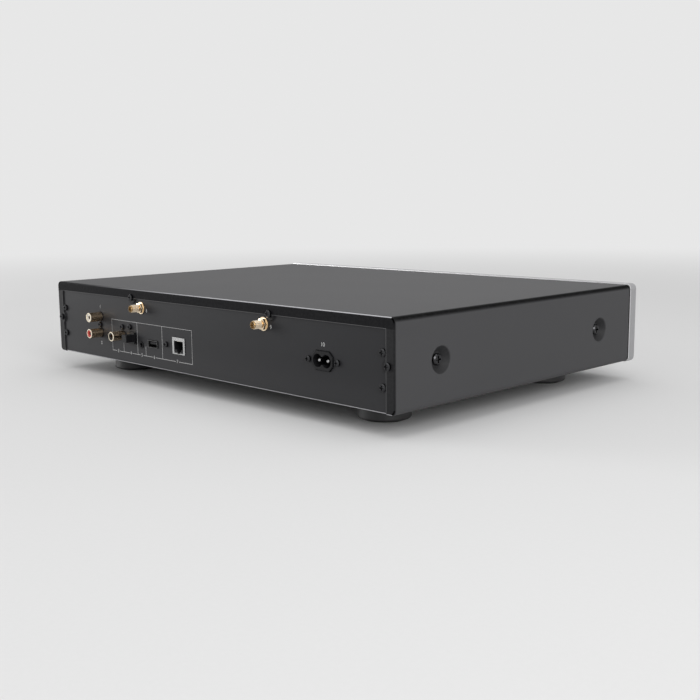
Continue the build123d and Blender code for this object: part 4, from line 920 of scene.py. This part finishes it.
marks = [
    ("1", phono[0].x + 4 * mm, phono[1].z + 4.6 * mm),
    ("2", phono[0].x + 4 * mm, phono[0].z - 5.2 * mm),
    *[(str(number), x, frame_low) for number, x in enumerate(label_places, 3)],
    ("8", antenna_right.x - 7.6 * mm, antenna_right.z - 2 * mm),
    ("9", antenna_left.x - 7.6 * mm, antenna_left.z - 2 * mm),
    ("10", inlet.x, inlet.z + 11.4 * mm),
]
lines = run_recipe(
    printed, {"Width": print_width, "Proud": print_proud, "Material": ink}, guide_mesh(strokes)
)
lines.transform(Matrix.Translation((0, wall_face, 0)))
rear_print = numerals(marks, wall_face, True)
rear_print.from_mesh(lines)
place_piece("rear_print", mesh_from(rear_print, "rear_print"), "rear_paint", ink)

preset_marks = []
for number in range(1, 5):
    low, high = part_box(f"preset_button_{number}")
    preset_marks.append((str(number), (low.x + high.x) / 2, low.z - preset_gap))
front_print = numerals(preset_marks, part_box("front_panel")[0].y, False)
front_mesh = mesh_from(front_print, "front_print")
place_piece("front_print", front_mesh, "panel_metal", finishes["black_plastic"])

# Studio: a pale floor that fades into the backdrop, and soft light from above and both sides
backdrop = tint(0.8, 0.8, 0.8)
ambient = 0.4
floor_radius = 30
fade_from = 1.3
fade_width = 0.95


def floor_finish():
    """Pale matt floor near the object, fading into the backdrop far from it."""
    material, tree, place = start_finish("studio floor")
    clouds = noise(place, 3, 2)
    speck = noise(place, 400)
    paper = tree.blend(clouds * 0.5 + speck * 0.5, tint(0.74, 0.74, 0.74), tint(0.78, 0.78, 0.78))
    bump = tree.node("ShaderNodeBump", None, {"Height": speck, "Distance": 0.02 * mm})
    matt = tree.node(
        "ShaderNodeBsdfPrincipled", None, {"Base Color": paper, "Roughness": 0.9, "Normal": bump}
    )
    bright = tree.node("ShaderNodeEmission", None, {"Color": backdrop, "Strength": 1.0})
    distance = tree.node("ShaderNodeVectorMath", {"operation": "LENGTH"}, {0: place}, "Value")
    far = between(distance, fade_from, 3 * floor_radius, fade_width)
    seen = tree.node("ShaderNodeMixShader", None, {0: far, 1: matt, 2: bright})
    tree.node("ShaderNodeOutputMaterial", None, {"Surface": seen})
    return material


def studio_world():
    """Even light all round, with a paler backdrop for the camera and for gloss and clear things."""
    world = bpy.data.worlds.new("studio")
    world.use_nodes = True
    world.node_tree.nodes.clear()
    tree = Wire(world.node_tree)
    rays = [
        tree.node("ShaderNodeLightPath", output=name)
        for name in ("Is Camera Ray", "Is Glossy Ray", "Is Transmission Ray")
    ]
    seen = tree.maths("MINIMUM", sum(rays), 1)
    light = tree.node("ShaderNodeBackground", None, {"Color": tint(1, 1, 1), "Strength": ambient})
    shown = tree.node("ShaderNodeBackground", None, {"Color": backdrop, "Strength": 1.0})
    mixed = tree.node("ShaderNodeMixShader", None, {0: seen, 1: light, 2: shown})
    tree.node("ShaderNodeOutputWorld", None, {"Surface": mixed})
    bpy.context.scene.world = world


def soft_light(name, place, target, size, power):
    """A square soft light at a place, aimed at the target."""
    data = bpy.data.lights.new(name, "AREA")
    data.shape = "SQUARE"
    data.size = size
    data.energy = power
    made = bpy.data.objects.new(name, data)
    bpy.context.collection.objects.link(made)
    made.location = place
    made.rotation_euler = (Vector(target) - Vector(place)).to_track_quat("-Z", "Y").to_euler()


ground = bmesh.new()
bmesh.ops.create_circle(ground, cap_ends=True, segments=96, radius=floor_radius)
floor_mesh = bpy.data.meshes.new("studio_floor")
ground.to_mesh(floor_mesh)
ground.free()
floor = bpy.data.objects.new("studio_floor", floor_mesh)
bpy.context.collection.objects.link(floor)
dress(floor_mesh, floor_finish())
studio_world()
soft_light("overhead_light", (-0.3, 0.2, 2.1), (0, 0, 0), 2.8, 20)
soft_light("rear_light", (2.0, 1.2, 0.5), (0.1, 0, 0.05), 1.0, 19)
soft_light("side_light", (-1.9, 0.9, 0.9), (-0.1, 0, 0.05), 1.2, 24)

# Camera: the photograph's viewpoint, from a fit of the object's corners and sockets
photo_pixels = 700
focal_pixels = 1003.18
eye = Vector((-0.646556, 0.619312, 0.160520))
yaw, pitch, roll = 0.78678, 0.15455, -0.00994
forward = Vector((sin(yaw) * cos(pitch), -cos(yaw) * cos(pitch), -sin(pitch)))
level = forward.cross(Vector((0, 0, 1))).normalized()
rise = level.cross(forward)
across = level * cos(roll) + rise * sin(roll)
upward = rise * cos(roll) - level * sin(roll)
camera_data = bpy.data.cameras.new("photo_camera")
camera_data.sensor_width = 36
camera_data.lens = camera_data.sensor_width * focal_pixels / photo_pixels
camera_data.clip_start = 0.01
camera = bpy.data.objects.new("photo_camera", camera_data)
bpy.context.collection.objects.link(camera)
camera.matrix_world = Matrix.Translation(eye) @ Matrix((across, upward, -forward)).transposed().to_4x4()
bpy.context.scene.camera = camera
bpy.context.scene.view_settings.view_transform = "Standard"

bpy.context.view_layer.update()
